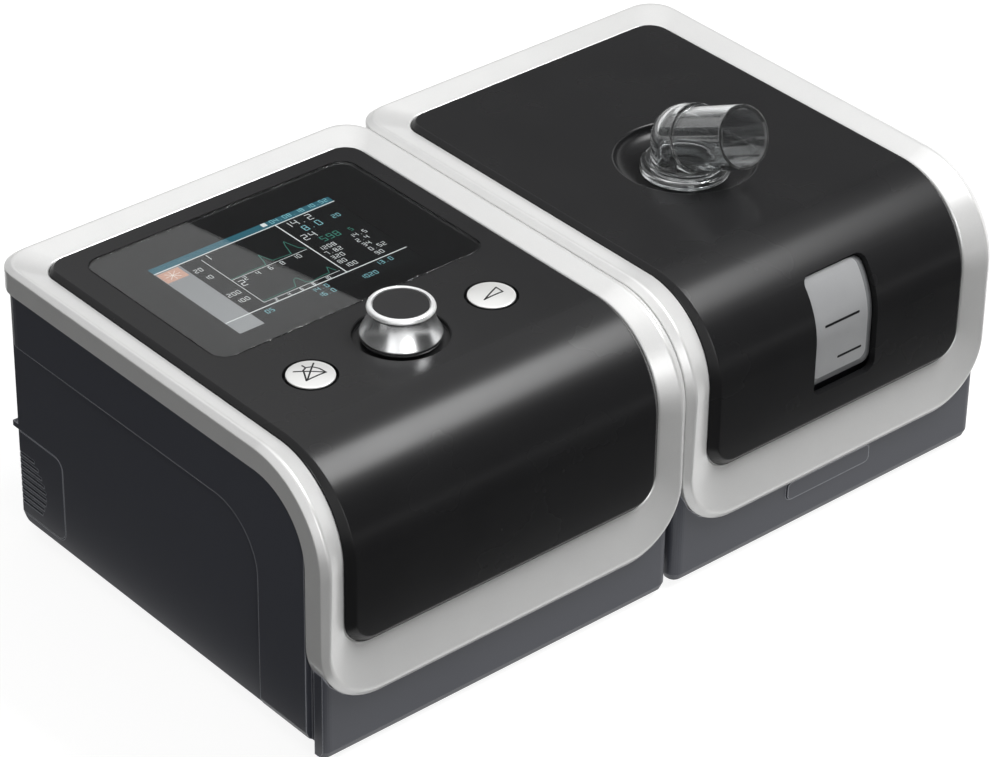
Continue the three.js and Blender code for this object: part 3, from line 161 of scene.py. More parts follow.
def black_card(name, corners, light):
    """A card of black felt that returns a little light and is there for glossy rays only."""
    card = new_piece(name, corners, [(0, 1, 2, 3)])
    felt = bpy.data.materials.new(name + "_felt")
    felt.use_nodes = True
    tree = felt.node_tree
    tree.nodes.clear()
    path = add_node(tree, "ShaderNodeLightPath")
    none = add_node(tree, "ShaderNodeBsdfTransparent")
    dim = add_node(tree, "ShaderNodeEmission", {"Color": linear("#ffffff"), "Strength": light})
    mixed = add_node(tree, "ShaderNodeMixShader", links={
        0: path.outputs["Is Glossy Ray"], 1: none.outputs[0], 2: dim.outputs[0]})
    add_node(tree, "ShaderNodeOutputMaterial", links={0: mixed.outputs[0]})
    card.data.materials.append(felt)


# A card hangs over the back of the table. Its straight edge is mirrored in the lens,
# from one of these places on the lens to the other.
LENS_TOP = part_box("display_lens")[1].z
CARD_EDGE = (Vector((-81.6, 65.4)) * MM, Vector((-67.8, -8.9)) * MM)
CARD_HEIGHT = 0.6
CARD_REACH = 0.9
CARD_OVERHANG = 1.2
CARD_LIGHT = 0.14

mirrored = Vector((CAMERA_PLACE.x, CAMERA_PLACE.y, 2 * LENS_TOP - CAMERA_PLACE.z))
ends = []
for spot in CARD_EDGE:
    seen = Vector((spot.x, spot.y, LENS_TOP)) - mirrored
    ends.append(mirrored + seen * (CARD_HEIGHT - mirrored.z) / seen.z)
along = (ends[0] - ends[1]).normalized()
outward = Vector((along.y, -along.x, 0)) * CARD_REACH
corner = ends[1] - along * CARD_OVERHANG
far = ends[0] + along * CARD_OVERHANG
black_card("card_over_back", [corner, corner + outward, far + outward, far], CARD_LIGHT)

# Two cards lie on the table. Their left, right, front and back edges are in metres.
TABLE_CARDS = {
    "card_left_table": (-0.9, -0.15, -0.5, 0.9),
    "card_front_table": (-0.25, 0.6, -0.6, -0.125),
}
TABLE_CARD_HEIGHT = 0.001
TABLE_CARD_LIGHT = 0.05
for name, (x0, x1, y0, y1) in TABLE_CARDS.items():
    corners = [(x, y, TABLE_CARD_HEIGHT) for x, y in ((x0, y0), (x1, y0), (x1, y1), (x0, y1))]
    black_card(name, corners, TABLE_CARD_LIGHT)

# Two cards stand farther out, each on a line between two places, with a height and a light.
UPRIGHT_CARDS = {
    "card_left_upright": ((-1, -0.25), (-1, 3.5), 0.6, 0.08),
    "card_front_upright": ((-0.05, -1.1), (1.4, -1.1), 1.15, 0.03),
}
for name, (start, end, height, light) in UPRIGHT_CARDS.items():
    black_card(name, [(*start, 0), (*end, 0), (*end, height), (*start, height)], light)

# The key light is three strips side by side, each dimmer than the one to its left.
# Each soft box has its place, its width and length, and its power in watts.
LAMP_AIM = Vector((0, 0, 0.06))
SOFT_BOXES = {
    "soft_box_key": ((0.50, -0.36, 1.10), (0.24, 0.60), 9.4),
    "soft_box_key_side": ((0.72, -0.36, 1.10), (0.20, 0.60), 2.5),
    "soft_box_key_end": ((0.92, -0.36, 1.10), (0.20, 0.60), 0.6),
    "soft_box_left": ((-1.5, -0.5, 0.9), (1.2, 1.2), 2),
    "soft_box_front": ((-0.6, -1.6, 0.7), (0.8, 0.8), 7),
    "soft_box_top": ((0.0, 0.3, 1.8), (1.6, 1.6), 6),
}
for name, (place, size, watts) in SOFT_BOXES.items():
    lamp = bpy.data.lights.new(name, "AREA")
    lamp.shape = "RECTANGLE"
    lamp.size, lamp.size_y = size
    lamp.energy = watts
    box = bpy.data.objects.new(name, lamp)
    bpy.context.collection.objects.link(box)
    facing = (Vector(place) - LAMP_AIM).normalized()
    length = (Vector((0, 1, 0)) - facing * facing.y).normalized()
    turn = Matrix((length.cross(facing), length, facing)).transposed()
    box.matrix_world = Matrix.Translation(place) @ turn.to_4x4()


# Casings: two trays of injection-moulded ABS, dark grey, with a fine spark-eroded
# texture that gives a soft sheen. The filter cap and the latch are moulded in the
# same plastic, with a crisp but slightly rounded parting edge.

def new_material(name, **values):
    """A material of that name, its tree and its principled shader."""
    material = bpy.data.materials.new(name)
    material.use_nodes = True
    shader = material.node_tree.nodes["Principled BSDF"]
    for socket, value in values.items():
        shader.inputs[socket.replace("_", " ")].default_value = value
    return material, material.node_tree, shader


def dress(piece, material):
    """The piece in that one material."""
    piece.data.materials.clear()
    piece.data.materials.append(material)


def mottled(tree, shader, first, second, patch, grain, depth, strength):
    """Two close colours in soft patches, and a fine grain in the surface with that depth."""
    place = add_node(tree, "ShaderNodeTexCoord").outputs["Object"]
    drift = add_node(tree, "ShaderNodeTexNoise", {"Scale": 1 / patch, "Detail": 3.0},
                     {"Vector": place})
    tone = add_node(tree, "ShaderNodeMixRGB", {"Color1": linear(first), "Color2": linear(second)},
                    {"Fac": drift.outputs["Fac"]})
    fine = add_node(tree, "ShaderNodeTexNoise", {"Scale": 1 / grain, "Detail": 2.0},
                    {"Vector": place})
    relief = add_node(tree, "ShaderNodeBump", {"Strength": strength, "Distance": depth},
                      {"Height": fine.outputs["Fac"]})
    tree.links.new(tone.outputs["Color"], shader.inputs["Base Color"])
    tree.links.new(relief.outputs["Normal"], shader.inputs["Normal"])


ABS_IOR = 1.53
EROSION_GRAIN = 0.45 * MM
EROSION_DEPTH = 0.03 * MM
COLOUR_DRIFT = 60 * MM

abs_texture, tree, shader = new_material("abs_spark_eroded", Roughness=0.46, IOR=ABS_IOR)
mottled(tree, shader, "#40424a", "#464850",
        patch=COLOUR_DRIFT, grain=EROSION_GRAIN, depth=EROSION_DEPTH, strength=0.25)

# A painted highlight lightens the colour along the edges, where they catch light. Its two
# limits below are cosines of the angle between the rounded edge and the flat face.
EDGE_HIGHLIGHT_REACH = 0.75 * MM
HIGHLIGHT_FROM = 0.985
HIGHLIGHT_FULL = 0.85
plain = shader.inputs["Base Color"].links[0].from_socket
rounded = add_node(tree, "ShaderNodeBevel", {"Radius": EDGE_HIGHLIGHT_REACH}, samples=6)
surface = add_node(tree, "ShaderNodeNewGeometry")
alike = add_node(tree, "ShaderNodeVectorMath", operation="DOT_PRODUCT", links={
    0: rounded.outputs["Normal"], 1: surface.outputs["True Normal"]})
near_edge = add_node(tree, "ShaderNodeMapRange", {"From Min": HIGHLIGHT_FROM, "From Max": HIGHLIGHT_FULL},
                     {"Value": alike.outputs["Value"]})
# Painted highlight: a pale grey is mixed into the colour near the edges.
edge_highlight_tint = add_node(tree, "ShaderNodeMixRGB", {"Color2": linear("#b9bbc2")},
                {"Fac": near_edge.outputs["Result"], "Color1": plain})
tree.links.new(edge_highlight_tint.outputs["Color"], shader.inputs["Base Color"])

CASING_EDGE = 0.35 * MM
EDGE_ANGLE = math.radians(28)


def soften(piece, width):
    """A small radius along a piece's edges, with its flats kept flat."""
    bevel = piece.modifiers.new("moulded_edge", "BEVEL")
    bevel.width = width
    bevel.segments = 2
    bevel.limit_method = "ANGLE"
    bevel.angle_limit = EDGE_ANGLE
    piece.modifiers.new("flats", "WEIGHTED_NORMAL").keep_sharp = True
    for polygon in piece.data.polygons:
        polygon.use_smooth = True


def dress_solids(names, material, width):
    """The model's own solids of those names in one material, with that radius along their edges."""
    for name in names:
        dress(nodes[name], material)
        soften(nodes[name], width)


dress_solids(("main_base", "humidifier_base", "filter_cap", "latch_button"), abs_texture, CASING_EDGE)


# Bezels: a moulded ABS ring on each module, sprayed with pearl silver that glints
# softly. Its outside stands upright, a bevel runs along the ridge, and a wide inner
# face slopes to the cover. It goes over the top and down the front in one bend.

BEND_RADIUS = 31.45 * MM
RIDGE_RISE = 2.3 * MM
RIDGE_INSET = 2.4 * MM
RIDGE_LAND = 0.9 * MM
SHOULDER_RISE = 0.7 * MM
INNER_LIP = 0.5 * MM
SKIRT_DROP = 7.1 * MM
SKIRT_WALL = 2.2 * MM
BEZEL_FRONT_RADIUS = 23 * MM
BEZEL_BACK_RADIUS = 11 * MM
INNER_EDGE_FRONT = -0.7 * MM
LEDGE_WIDTH = 4 * MM
LEDGE_WALL = 1.8 * MM
PANEL_FRONT_RADIUS = 11 * MM
PANEL_BACK_RADIUS = 9 * MM
PANEL_RISE = 1.4 * MM
PANEL_WALL = 2.6 * MM
FIT = 0.3 * MM
MOULD_ROUND = 0.4 * MM
BEND_STEPS = 36
CORNER_STEPS = 16
QUARTER = math.pi / 2

ring_low, ring_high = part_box("main_bezel")
FACE_TOP = ring_high.z - RIDGE_RISE
FACE_FRONT = ring_low.y + RIDGE_RISE
BEND_Y = FACE_FRONT + BEND_RADIUS
BEND_Z = FACE_TOP - BEND_RADIUS
BEND_LENGTH = BEND_RADIUS * QUARTER


def on_face(x, run, rise):
    """A point over the face: flat on top, bent over the front edge, flat down the front."""
    if run <= 0:
        return Vector((x, BEND_Y - run, FACE_TOP + rise))
    if run >= BEND_LENGTH:
        return Vector((x, FACE_FRONT - rise, BEND_Z - (run - BEND_LENGTH)))
    angle = run / BEND_RADIUS
    radius = BEND_RADIUS + rise
    return Vector((x, BEND_Y - radius * math.sin(angle), BEND_Z + radius * math.cos(angle)))


def run_at_height(z):
    """How far along the face a height on its front is."""
    return BEND_LENGTH + BEND_Z - z


def down_share(run):
    """0 on the top, 1 on the front, eased over the bend."""
    share = min(max(run / BEND_LENGTH, 0), 1)
    return share * share * (3 - 2 * share)


def around(outline, inset=lambda run: 0):
    """Places (x from the middle, run) round an outline on the face, right half first, from the back.

    An outline is half its width, its start and end, and the radii of its back and front corners."""
    half, back_run, front_run, back_radius, front_radius = outline
    places = []
    for i in range(CORNER_STEPS + 1):
        angle = QUARTER * i / CORNER_STEPS
        reach = back_radius - inset(back_run)
        places.append((half - back_radius + reach * math.sin(angle),
                       back_run + back_radius - reach * math.cos(angle)))
    for i in range(BEND_STEPS + 1):
        run = BEND_LENGTH * i / BEND_STEPS
        if back_run + back_radius < run < front_run - front_radius:
            places.append((half - inset(run), run))
    for i in range(CORNER_STEPS + 1):
        angle = QUARTER * i / CORNER_STEPS
        reach = front_radius - inset(front_run)
        places.append((half - front_radius + reach * math.cos(angle),
                       front_run - front_radius + reach * math.sin(angle)))
    return places + [(-x, run) for x, run in reversed(places)]


SIDE_SHARE = 0.45


def softened(points, radius, steps=3):
    """A profile with each corner between its ends rounded, by no more than its sides allow."""
    places = [Vector(p) for p in points]
    rounded = [places[0]]
    for before, corner, after in zip(places, places[1:], places[2:]):
        shorter = min((before - corner).length, (after - corner).length)
        room = min(radius, shorter * SIDE_SHARE)
        start = corner + (before - corner).normalized() * room
        end = corner + (after - corner).normalized() * room
        for i in range(steps + 1):
            t = i / steps
            rounded.append(start * (1 - t) ** 2 + corner * 2 * t * (1 - t) + end * t * t)
    rounded.append(places[-1])
    return [tuple(place) for place in rounded]


def skin(rows, ring_of_rows):
    """Points and faces of a skin over closed rows, which form a ring or are bridged at both ends."""
    count = len(rows[0])
    points = [point for row in rows for point in row]
    faces = []
    for i in range(len(rows) if ring_of_rows else len(rows) - 1):
        here, then = i * count, (i + 1) % len(rows) * count
        for j in range(count):
            k = (j + 1) % count
            faces.append((here + j, here + k, then + k, then + j))
    if not ring_of_rows:
        for start in (0, (len(rows) - 1) * count):
            for j in range(count // 2 - 1):
                k = count - 1 - j
                faces.append((start + j, start + j + 1, start + k - 1, start + k))
    return points, faces


def rounded_rectangle(x0, x1, y0, y1, radius, steps=10):
    """Places round a rectangle with that corner radius, from its right side round by its back."""
    places = []
    for x, y, start in ((x1 - radius, y1 - radius, 0), (x0 + radius, y1 - radius, 1),
                        (x0 + radius, y0 + radius, 2), (x1 - radius, y0 + radius, 3)):
        for i in range(steps + 1):
            angle = QUARTER * (start + i / steps)
            places.append((x + radius * math.cos(angle), y + radius * math.sin(angle)))
    return places


def prism(name, outline, low, high, along="z"):
    """A closed solid with that outline in x and y run along z, or with one in y and z run along x."""
    count = len(outline)
    if along == "z":
        points = [(a, b, c) for c in (low, high) for a, b in outline]
    else:
        points = [(c, a, b) for c in (low, high) for a, b in outline]
    faces = [tuple(range(count)), tuple(range(count, 2 * count))]
    faces += [(i, (i + 1) % count, count + (i + 1) % count, count + i) for i in range(count)]
    return new_piece(name, points, faces)


def turned(name, profile, centre, axis=Vector((0, 0, 1)), sides=72):
    """A turned solid: the profile's (radius, height) points go round the axis through the centre.

    The profile starts and ends on the axis, or closes on itself as a ring."""
    turn = axis.to_track_quat("Z", "Y").to_matrix() if axis.z < 1 else Matrix.Identity(3)
    solid = profile[0][0] == 0
    rings = profile[1:-1] if solid else profile
    points = []
    for radius, height in rings:
        for j in range(sides):
            angle = 2 * math.pi * j / sides
            spot = Vector((radius * math.cos(angle), radius * math.sin(angle), height))
            points.append(centre + turn @ spot)
    faces = []
    for i in range(len(rings) - 1 if solid else len(rings)):
        here, then = i * sides, (i + 1) % len(rings) * sides
        for j in range(sides):
            k = (j + 1) % sides
            faces.append((here + j, here + k, then + k, then + j))
    if solid:
        last = (len(rings) - 1) * sides
        for start, height in ((0, profile[0][1]), (last, profile[-1][1])):
            points.append(centre + turn @ Vector((0, 0, height)))
            faces += [(start + j, start + (j + 1) % sides, len(points) - 1) for j in range(sides)]
    return new_piece(name, points, faces)


def carve(piece, tool, operation="DIFFERENCE"):
    """The piece cut by the tool, or joined with it. The tool is used up."""
    change = piece.modifiers.new("carve", "BOOLEAN")
    change.operation = operation
    change.solver = "MANIFOLD"
    change.object = tool
    bpy.context.view_layer.update()
    cut = piece.evaluated_get(bpy.context.evaluated_depsgraph_get())
    shape = bpy.data.meshes.new_from_object(cut)
    piece.modifiers.clear()
    piece.data = shape
    bpy.data.objects.remove(tool)


SEAM = 0.002 * MM
CREASE = math.radians(32)


def finish_surface(piece):
    """Doubles merged, faces turned outward and shaded smooth, creases kept sharp, flats flat."""
    mesh = piece.data
    work = bmesh.new()
    work.from_mesh(mesh)
    bmesh.ops.remove_doubles(work, verts=work.verts, dist=SEAM)
    bmesh.ops.recalc_face_normals(work, faces=work.faces)
    work.to_mesh(mesh)
    work.free()
    mesh.shade_smooth()
    mesh.set_sharp_from_angle(angle=CREASE)
    piece.modifiers.new("flats", "WEIGHTED_NORMAL").keep_sharp = True


def dress_pair(piece, node, material):
    """A finer piece and the solid that it replaces, both in one material."""
    dress(piece, material)
    dress(nodes[node], material)


def bezel_outline(node):
    """The outline of a bezel's outside."""
    low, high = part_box(node)
    half, back_run, front_run = (high.x - low.x) / 2, BEND_Y - ring_high.y, run_at_height(low.z)
    return half, back_run, front_run, BEZEL_BACK_RADIUS, BEZEL_FRONT_RADIUS


def panel_outline(node):
    """The outline of the opening that a cover lies in, with its clearance."""
    low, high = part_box(node)
    half, back_run, front_run = (high.x - low.x) / 2, BEND_Y - high.y, run_at_height(low.z)
    return half + FIT, back_run - FIT, front_run + FIT, PANEL_BACK_RADIUS, PANEL_FRONT_RADIUS


def build_bezel(name, node, panel_node):
    """A ring on the face, its section carried round between the bezel's and the cover's outlines."""
    low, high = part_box(node)
    middle = (low.x + high.x) / 2
    ledge_top = PANEL_RISE - PANEL_WALL - FIT
    ledge_under = ledge_top - LEDGE_WALL
    rows = []
    outer_places, inner_places = around(bezel_outline(node)), around(panel_outline(panel_node))
    for (outer_x, outer_run), (inner_x, inner_run) in zip(outer_places, inner_places):
        width = math.hypot(outer_x - inner_x, outer_run - inner_run)
        edge = INNER_EDGE_FRONT * down_share(inner_run)
        section = softened([
            (SKIRT_WALL / 2, -SKIRT_DROP),
            (0, -SKIRT_DROP),
            (0, SHOULDER_RISE),
            (RIDGE_INSET, RIDGE_RISE),
            (RIDGE_INSET + RIDGE_LAND, RIDGE_RISE),
            (width - INNER_LIP, edge),
            (width, edge - INNER_LIP),
            (width, ledge_top),
            (width + LEDGE_WIDTH, ledge_top),
            (width + LEDGE_WIDTH, ledge_under),
            (SKIRT_WALL, ledge_under),
            (SKIRT_WALL, -SKIRT_DROP),
            (SKIRT_WALL / 2, -SKIRT_DROP),
        ], MOULD_ROUND)[:-1]
        row = []
        for from_outer, rise in section:
            share = from_outer / width
            x = outer_x + (inner_x - outer_x) * share
            run = outer_run + (inner_run - outer_run) * share
            row.append(on_face(middle + x, run, rise))
        rows.append(row)
    return new_piece(name, *skin(rows, True))


# Two hinge knuckles are moulded under the back edge of the lid's ring, bored for the
# pins. A short root joins each to the ring.
KNUCKLE_RADIUS = 3.3 * MM
KNUCKLE_HALF = 7 * MM
KNUCKLE_BORE = 1.8 * MM
KNUCKLE_ROOT = 0.4 * MM
KNUCKLE_ROOT_RISE = 5 * MM
KNUCKLE_SIDES = 48
BORE_OVERRUN = 1 * MM


def add_knuckle(ring, pin):
    """A knuckle round that pin, joined to the ring and bored."""
    low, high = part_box(pin)
    centre = (low + high) / 2
    back_end, root_top = ring_high.y - KNUCKLE_ROOT, centre.z + KNUCKLE_ROOT_RISE
    root = [(centre.y, centre.z), (back_end, centre.z), (back_end, root_top), (centre.y, root_top)]
    carve(ring, prism("root", root, centre.x - KNUCKLE_HALF, centre.x + KNUCKLE_HALF, "x"), "UNION")
    for radius, half, operation in ((KNUCKLE_RADIUS, KNUCKLE_HALF, "UNION"),
                                    (KNUCKLE_BORE, KNUCKLE_HALF + BORE_OVERRUN, "DIFFERENCE")):
        roller = [(0, -half), (radius, -half), (radius, half), (0, half)]
        carve(ring, turned("roller", roller, centre, Vector((1, 0, 0)), KNUCKLE_SIDES), operation)


# The flakes are drawn coarser than real ones, which are too fine to show.
FLAKE = 0.12 * MM
SPRAY_CLOUD = 14 * MM
ORANGE_PEEL = 0.02 * MM

pearl_silver, tree, shader = new_material(
    "abs_sprayed_pearl_silver", Roughness=0.34, Metallic=0.25, IOR=1.5,
    Coat_Weight=0.35, Coat_Roughness=0.12)
place = add_node(tree, "ShaderNodeTexCoord").outputs["Object"]
flakes = add_node(tree, "ShaderNodeTexVoronoi", {"Scale": 1 / FLAKE}, {"Vector": place})
cloud = add_node(tree, "ShaderNodeTexNoise", {"Scale": 1 / SPRAY_CLOUD, "Detail": 2.0},
                 {"Vector": place})
glint = add_node(tree, "ShaderNodeMath", operation="MULTIPLY", links={
    0: flakes.outputs["Color"], 1: cloud.outputs["Fac"]})
tone = add_node(tree, "ShaderNodeMixRGB", {"Color1": linear("#e4e4e3"), "Color2": linear("#d6d6d6")},
                {"Fac": glint.outputs[0]})
peel = add_node(tree, "ShaderNodeBump", {"Strength": 0.06, "Distance": ORANGE_PEEL},
                {"Height": flakes.outputs["Distance"]})
tree.links.new(tone.outputs["Color"], shader.inputs["Base Color"])
tree.links.new(peel.outputs["Normal"], shader.inputs["Normal"])

for name, node, panel_node, body in (
        ("silver_ring_main", "main_bezel", "main_panel", "main_unit"),
        ("silver_ring_lid", "lid_bezel", "lid_panel", "lid")):
    ring = build_bezel(name, node, panel_node)
    if body == "lid":
        for pin in ("hinge_pin_1", "hinge_pin_2"):
            add_knuckle(ring, pin)
    finish_surface(ring)
    dress_pair(ring, node, pearl_silver)
    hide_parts(node)
    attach(ring, body)


# Covers: black ABS with a satin gloss that follows the bend of the bezels and is
# raised on a bevelled edge. The main one is pocketed for the lens, the knob and the
# buttons, and the lid's has the dish of the hose elbow and the slot of the window.

BEVEL_TOP = 1.6 * MM
BEVEL_FRONT = 2.9 * MM
FOOT_TOP = -0.2 * MM
FOOT_FRONT = -0.9 * MM
# The edge's section, from its foot: shares of its width and of its height.
BEVEL_SHARES = ((0, 0), (0.04, 0), (0.45, 0.47), (0.8, 0.84), (0.93, 0.95), (1, 0.99), (1.12, 1))


def build_panel(name, node):
    """A cover on the face with a bevelled edge, wider and deeper on the front than on the top."""
    low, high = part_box(node)
    middle = (low.x + high.x) / 2
    half, back_run, front_run, back_radius, front_radius = panel_outline(node)
    outline = (half - FIT, back_run + FIT, front_run - FIT, back_radius - FIT, front_radius - FIT)
    under = [on_face(middle + x, run, PANEL_RISE - PANEL_WALL) for x, run in around(outline)]
    rows = [under]
    for inset_share, height_share in BEVEL_SHARES:
        row = []

        def bevel(run):
            return (BEVEL_TOP + (BEVEL_FRONT - BEVEL_TOP) * down_share(run)) * inset_share

        for x, run in around(outline, bevel):
            foot = FOOT_TOP + (FOOT_FRONT - FOOT_TOP) * down_share(run)
            row.append(on_face(middle + x, run, foot + (PANEL_RISE - foot) * height_share))
        rows.append(row)
    return new_piece(name, *skin(rows, False))


def upright_axis(node):
    """The middle of a node's box, seen from above."""
    low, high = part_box(node)
    return Vector(((low.x + high.x) / 2, (low.y + high.y) / 2, 0))


def hole(radius, low, high, place):
    """A plain round tool."""
    return turned("hole", [(0, low), (radius, low), (radius, high), (0, high)], place)


LENS_RADIUS = 6 * MM
SCREEN_FLANGE = 3 * MM
KNOB_RECESS_RADIUS = 15.6 * MM
KNOB_RECESS_DEPTH = 1.8 * MM
KNOB_RECESS_PROUD = 0.03 * MM
BUTTON_HOLE = 8.9 * MM
SHAFT_HOLE = 4 * MM
TOOL_OVERRUN = 6 * MM

PANEL_TOP = FACE_TOP + PANEL_RISE
PANEL_UNDER = PANEL_TOP - PANEL_WALL
lens_low, lens_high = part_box("display_lens")
screen_low, screen_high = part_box("screen_module")
knob_low, knob_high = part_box("knob")
KNOB_PLACE = upright_axis("knob")
BUTTON_PLACES = {name: upright_axis(name) for name in ("mute_button", "ramp_button")}

main_cover = build_panel("main_black_cover", "main_panel")
pocket = rounded_rectangle(
    lens_low.x - FIT, lens_high.x + FIT, lens_low.y - FIT, lens_high.y + FIT, LENS_RADIUS + FIT)
carve(main_cover, prism("pocket", pocket, lens_low.z - FIT, PANEL_TOP + TOOL_OVERRUN))
inset = SCREEN_FLANGE - FIT
opening = rounded_rectangle(
    screen_low.x + inset, screen_high.x - inset, screen_low.y + inset, screen_high.y - inset, FIT, 2)
carve(main_cover, prism("opening", opening, PANEL_UNDER - TOOL_OVERRUN, PANEL_TOP))
recess_floor = PANEL_TOP - KNOB_RECESS_DEPTH
recess = softened([
    (0, recess_floor),
    (KNOB_RECESS_RADIUS, recess_floor),
    (KNOB_RECESS_RADIUS, PANEL_TOP - MOULD_ROUND),
    (KNOB_RECESS_RADIUS + MOULD_ROUND, PANEL_TOP + KNOB_RECESS_PROUD),
    (KNOB_RECESS_RADIUS + MOULD_ROUND, PANEL_TOP + TOOL_OVERRUN),
], MOULD_ROUND) + [(0, PANEL_TOP + TOOL_OVERRUN)]
carve(main_cover, turned("recess", recess, KNOB_PLACE))
carve(main_cover, hole(SHAFT_HOLE, PANEL_UNDER - TOOL_OVERRUN, PANEL_TOP, KNOB_PLACE))
for place in BUTTON_PLACES.values():
    carve(main_cover, hole(BUTTON_HOLE, PANEL_UNDER - TOOL_OVERRUN, PANEL_TOP + TOOL_OVERRUN, place))

DISH_RADIUS = 24.2 * MM
DISH_FLOOR_RADIUS = 17 * MM
DISH_DEPTH = 5 * MM
DISH_WALL = 1.8 * MM
DISH_LIP = 1.1 * MM
DISH_STEPS = 14
LIP_STEPS = 5
NECK_HOLE = 12.1 * MM

collar_low, collar_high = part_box("elbow_collar")
ELBOW_PLACE = upright_axis("elbow_collar")
DISH_FLOOR = PANEL_TOP - DISH_DEPTH


def dish_profile(wall, top, lip):
    """The dish's profile, grown by a wall, up to a top, with a rounded lip where one is given."""
    profile = [(0, DISH_FLOOR - wall)]
    for i in range(DISH_STEPS + 1):
        angle = QUARTER * i / DISH_STEPS
        radius = DISH_FLOOR_RADIUS + (DISH_RADIUS - DISH_FLOOR_RADIUS) * math.sin(angle) + wall
        profile.append((radius, DISH_FLOOR + (DISH_DEPTH - lip) * (1 - math.cos(angle)) - wall))
    if lip:
        for i in range(1, LIP_STEPS + 1):
            angle = QUARTER * i / LIP_STEPS
            profile.append((DISH_RADIUS + lip * (1 - math.cos(angle)),
                            PANEL_TOP - lip + lip * math.sin(angle)))
    profile.append((profile[-1][0], top))
    profile.append((0, top))
    return profile


WINDOW_TOP_SHARE = 0.51
WINDOW_RADIUS = 3.5 * MM
WINDOW_SILL = 2.2 * MM

pane_low, pane_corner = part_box("water_window")
window_middle = (pane_low.x + pane_corner.x) / 2
window_half = (pane_corner.x - pane_low.x) / 2 + FIT
window_front = run_at_height(pane_low.z - FIT - WINDOW_SILL)


def face_block(name, outline, middle, rises):
    """A block that follows the face within an outline, through those rises."""
    rows = [[on_face(middle + x, run, rise) for x, run in around(outline)] for rise in rises]
    return new_piece(name, *skin(rows, False))


window_back = BEND_LENGTH * WINDOW_TOP_SHARE
window_outline = (window_half, window_back, window_front, WINDOW_RADIUS, WINDOW_RADIUS)
bowl = dish_profile(DISH_WALL, PANEL_TOP - PANEL_WALL / 2, 0)
dish = dish_profile(0, PANEL_TOP + TOOL_OVERRUN, DISH_LIP)
lid_cover = build_panel("lid_black_cover", "lid_panel")
carve(lid_cover, turned("bowl", bowl, ELBOW_PLACE), "UNION")
carve(lid_cover, turned("dish", dish, ELBOW_PLACE))
carve(lid_cover, hole(NECK_HOLE, DISH_FLOOR - TOOL_OVERRUN, PANEL_TOP, ELBOW_PLACE))
carve(lid_cover, face_block("slot", window_outline, window_middle, (-TOOL_OVERRUN, TOOL_OVERRUN)))

# A slight wave and a soft haze of the polish keep its reflections from being perfect.
POLISH_WAVE = 9 * MM
WAVE_DEPTH = 0.05 * MM
HAZE = 25 * MM

satin_black, tree, shader = new_material("abs_satin_gloss_black", IOR=ABS_IOR, Specular_IOR_Level=0.2)
place = add_node(tree, "ShaderNodeTexCoord").outputs["Object"]
haze = add_node(tree, "ShaderNodeTexNoise", {"Scale": 1 / HAZE, "Detail": 3.0}, {"Vector": place})
rough = add_node(tree, "ShaderNodeMapRange", {"To Min": 0.25, "To Max": 0.29},
                 {"Value": haze.outputs["Fac"]})
tone = add_node(tree, "ShaderNodeMixRGB", {"Color1": linear("#1e1e1f"), "Color2": linear("#222223")},
                {"Fac": haze.outputs["Fac"]})
wave = add_node(tree, "ShaderNodeTexNoise", {"Scale": 1 / POLISH_WAVE, "Detail": 1.0}, {"Vector": place})
relief = add_node(tree, "ShaderNodeBump", {"Strength": 0.05, "Distance": WAVE_DEPTH},
                  {"Height": wave.outputs["Fac"]})
tree.links.new(tone.outputs["Color"], shader.inputs["Base Color"])
tree.links.new(rough.outputs["Result"], shader.inputs["Roughness"])
tree.links.new(relief.outputs["Normal"], shader.inputs["Normal"])

for cover, node, body in ((main_cover, "main_panel", "main_unit"), (lid_cover, "lid_panel", "lid")):
    finish_surface(cover)
    dress_pair(cover, node, satin_black)
    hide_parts(node)
    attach(cover, body)


# Display: a flush window of clear acrylic, printed black underneath round the screen.
# Below it lies a liquid-crystal panel, lit from behind, with a fine grid of pixels.
# Its picture has bars, axes, curves and plain digits only.

LENS_EDGE = 0.25 * MM
INK_WALL = 0.05 * MM
INK_DEPTH = 0.1 * MM

lens_outline = (lens_low.x, lens_high.x, lens_low.y, lens_high.y)
lens = prism("acrylic_window", rounded_rectangle(*lens_outline, LENS_RADIUS), lens_low.z, lens_high.z)
rounding = lens.modifiers.new("polished_edge", "BEVEL")
rounding.width = LENS_EDGE
rounding.segments = 3
rounding.limit_method = "ANGLE"
lens.modifiers.new("flats", "WEIGHTED_NORMAL").keep_sharp = True
for polygon in lens.data.polygons:
    polygon.use_smooth = True

# The coat is bloomed, so it mirrors less than bare acrylic and has a lower index.
clear_acrylic, tree, shader = new_material(
    "acrylic_bloomed_hard_coat", IOR=1.32, Roughness=0.01, Transmission_Weight=1.0,
    Base_Color=linear("#f4f6f6"))
place = add_node(tree, "ShaderNodeTexCoord").outputs["Object"]
smear = add_node(tree, "ShaderNodeTexNoise", {"Scale": 1 / HAZE, "Detail": 4.0, "Distortion": 0.6},
                 {"Vector": place})
rough = add_node(tree, "ShaderNodeMapRange", {"To Min": 0.0, "To Max": 0.015},
                 {"Value": smear.outputs["Fac"]})
tree.links.new(rough.outputs["Result"], shader.inputs["Roughness"])
dress_pair(lens, "display_lens", clear_acrylic)
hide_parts("display_lens")
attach(lens, "main_unit")

SCREEN_LEFT, SCREEN_BACK = screen_low.x + SCREEN_FLANGE, screen_high.y - SCREEN_FLANGE
SCREEN_WIDTH = screen_high.x - SCREEN_FLANGE - SCREEN_LEFT
SCREEN_LENGTH = SCREEN_BACK - screen_low.y - SCREEN_FLANGE
INK_BORDER = 0.8 * MM
ink_top = lens_low.z - INK_DEPTH

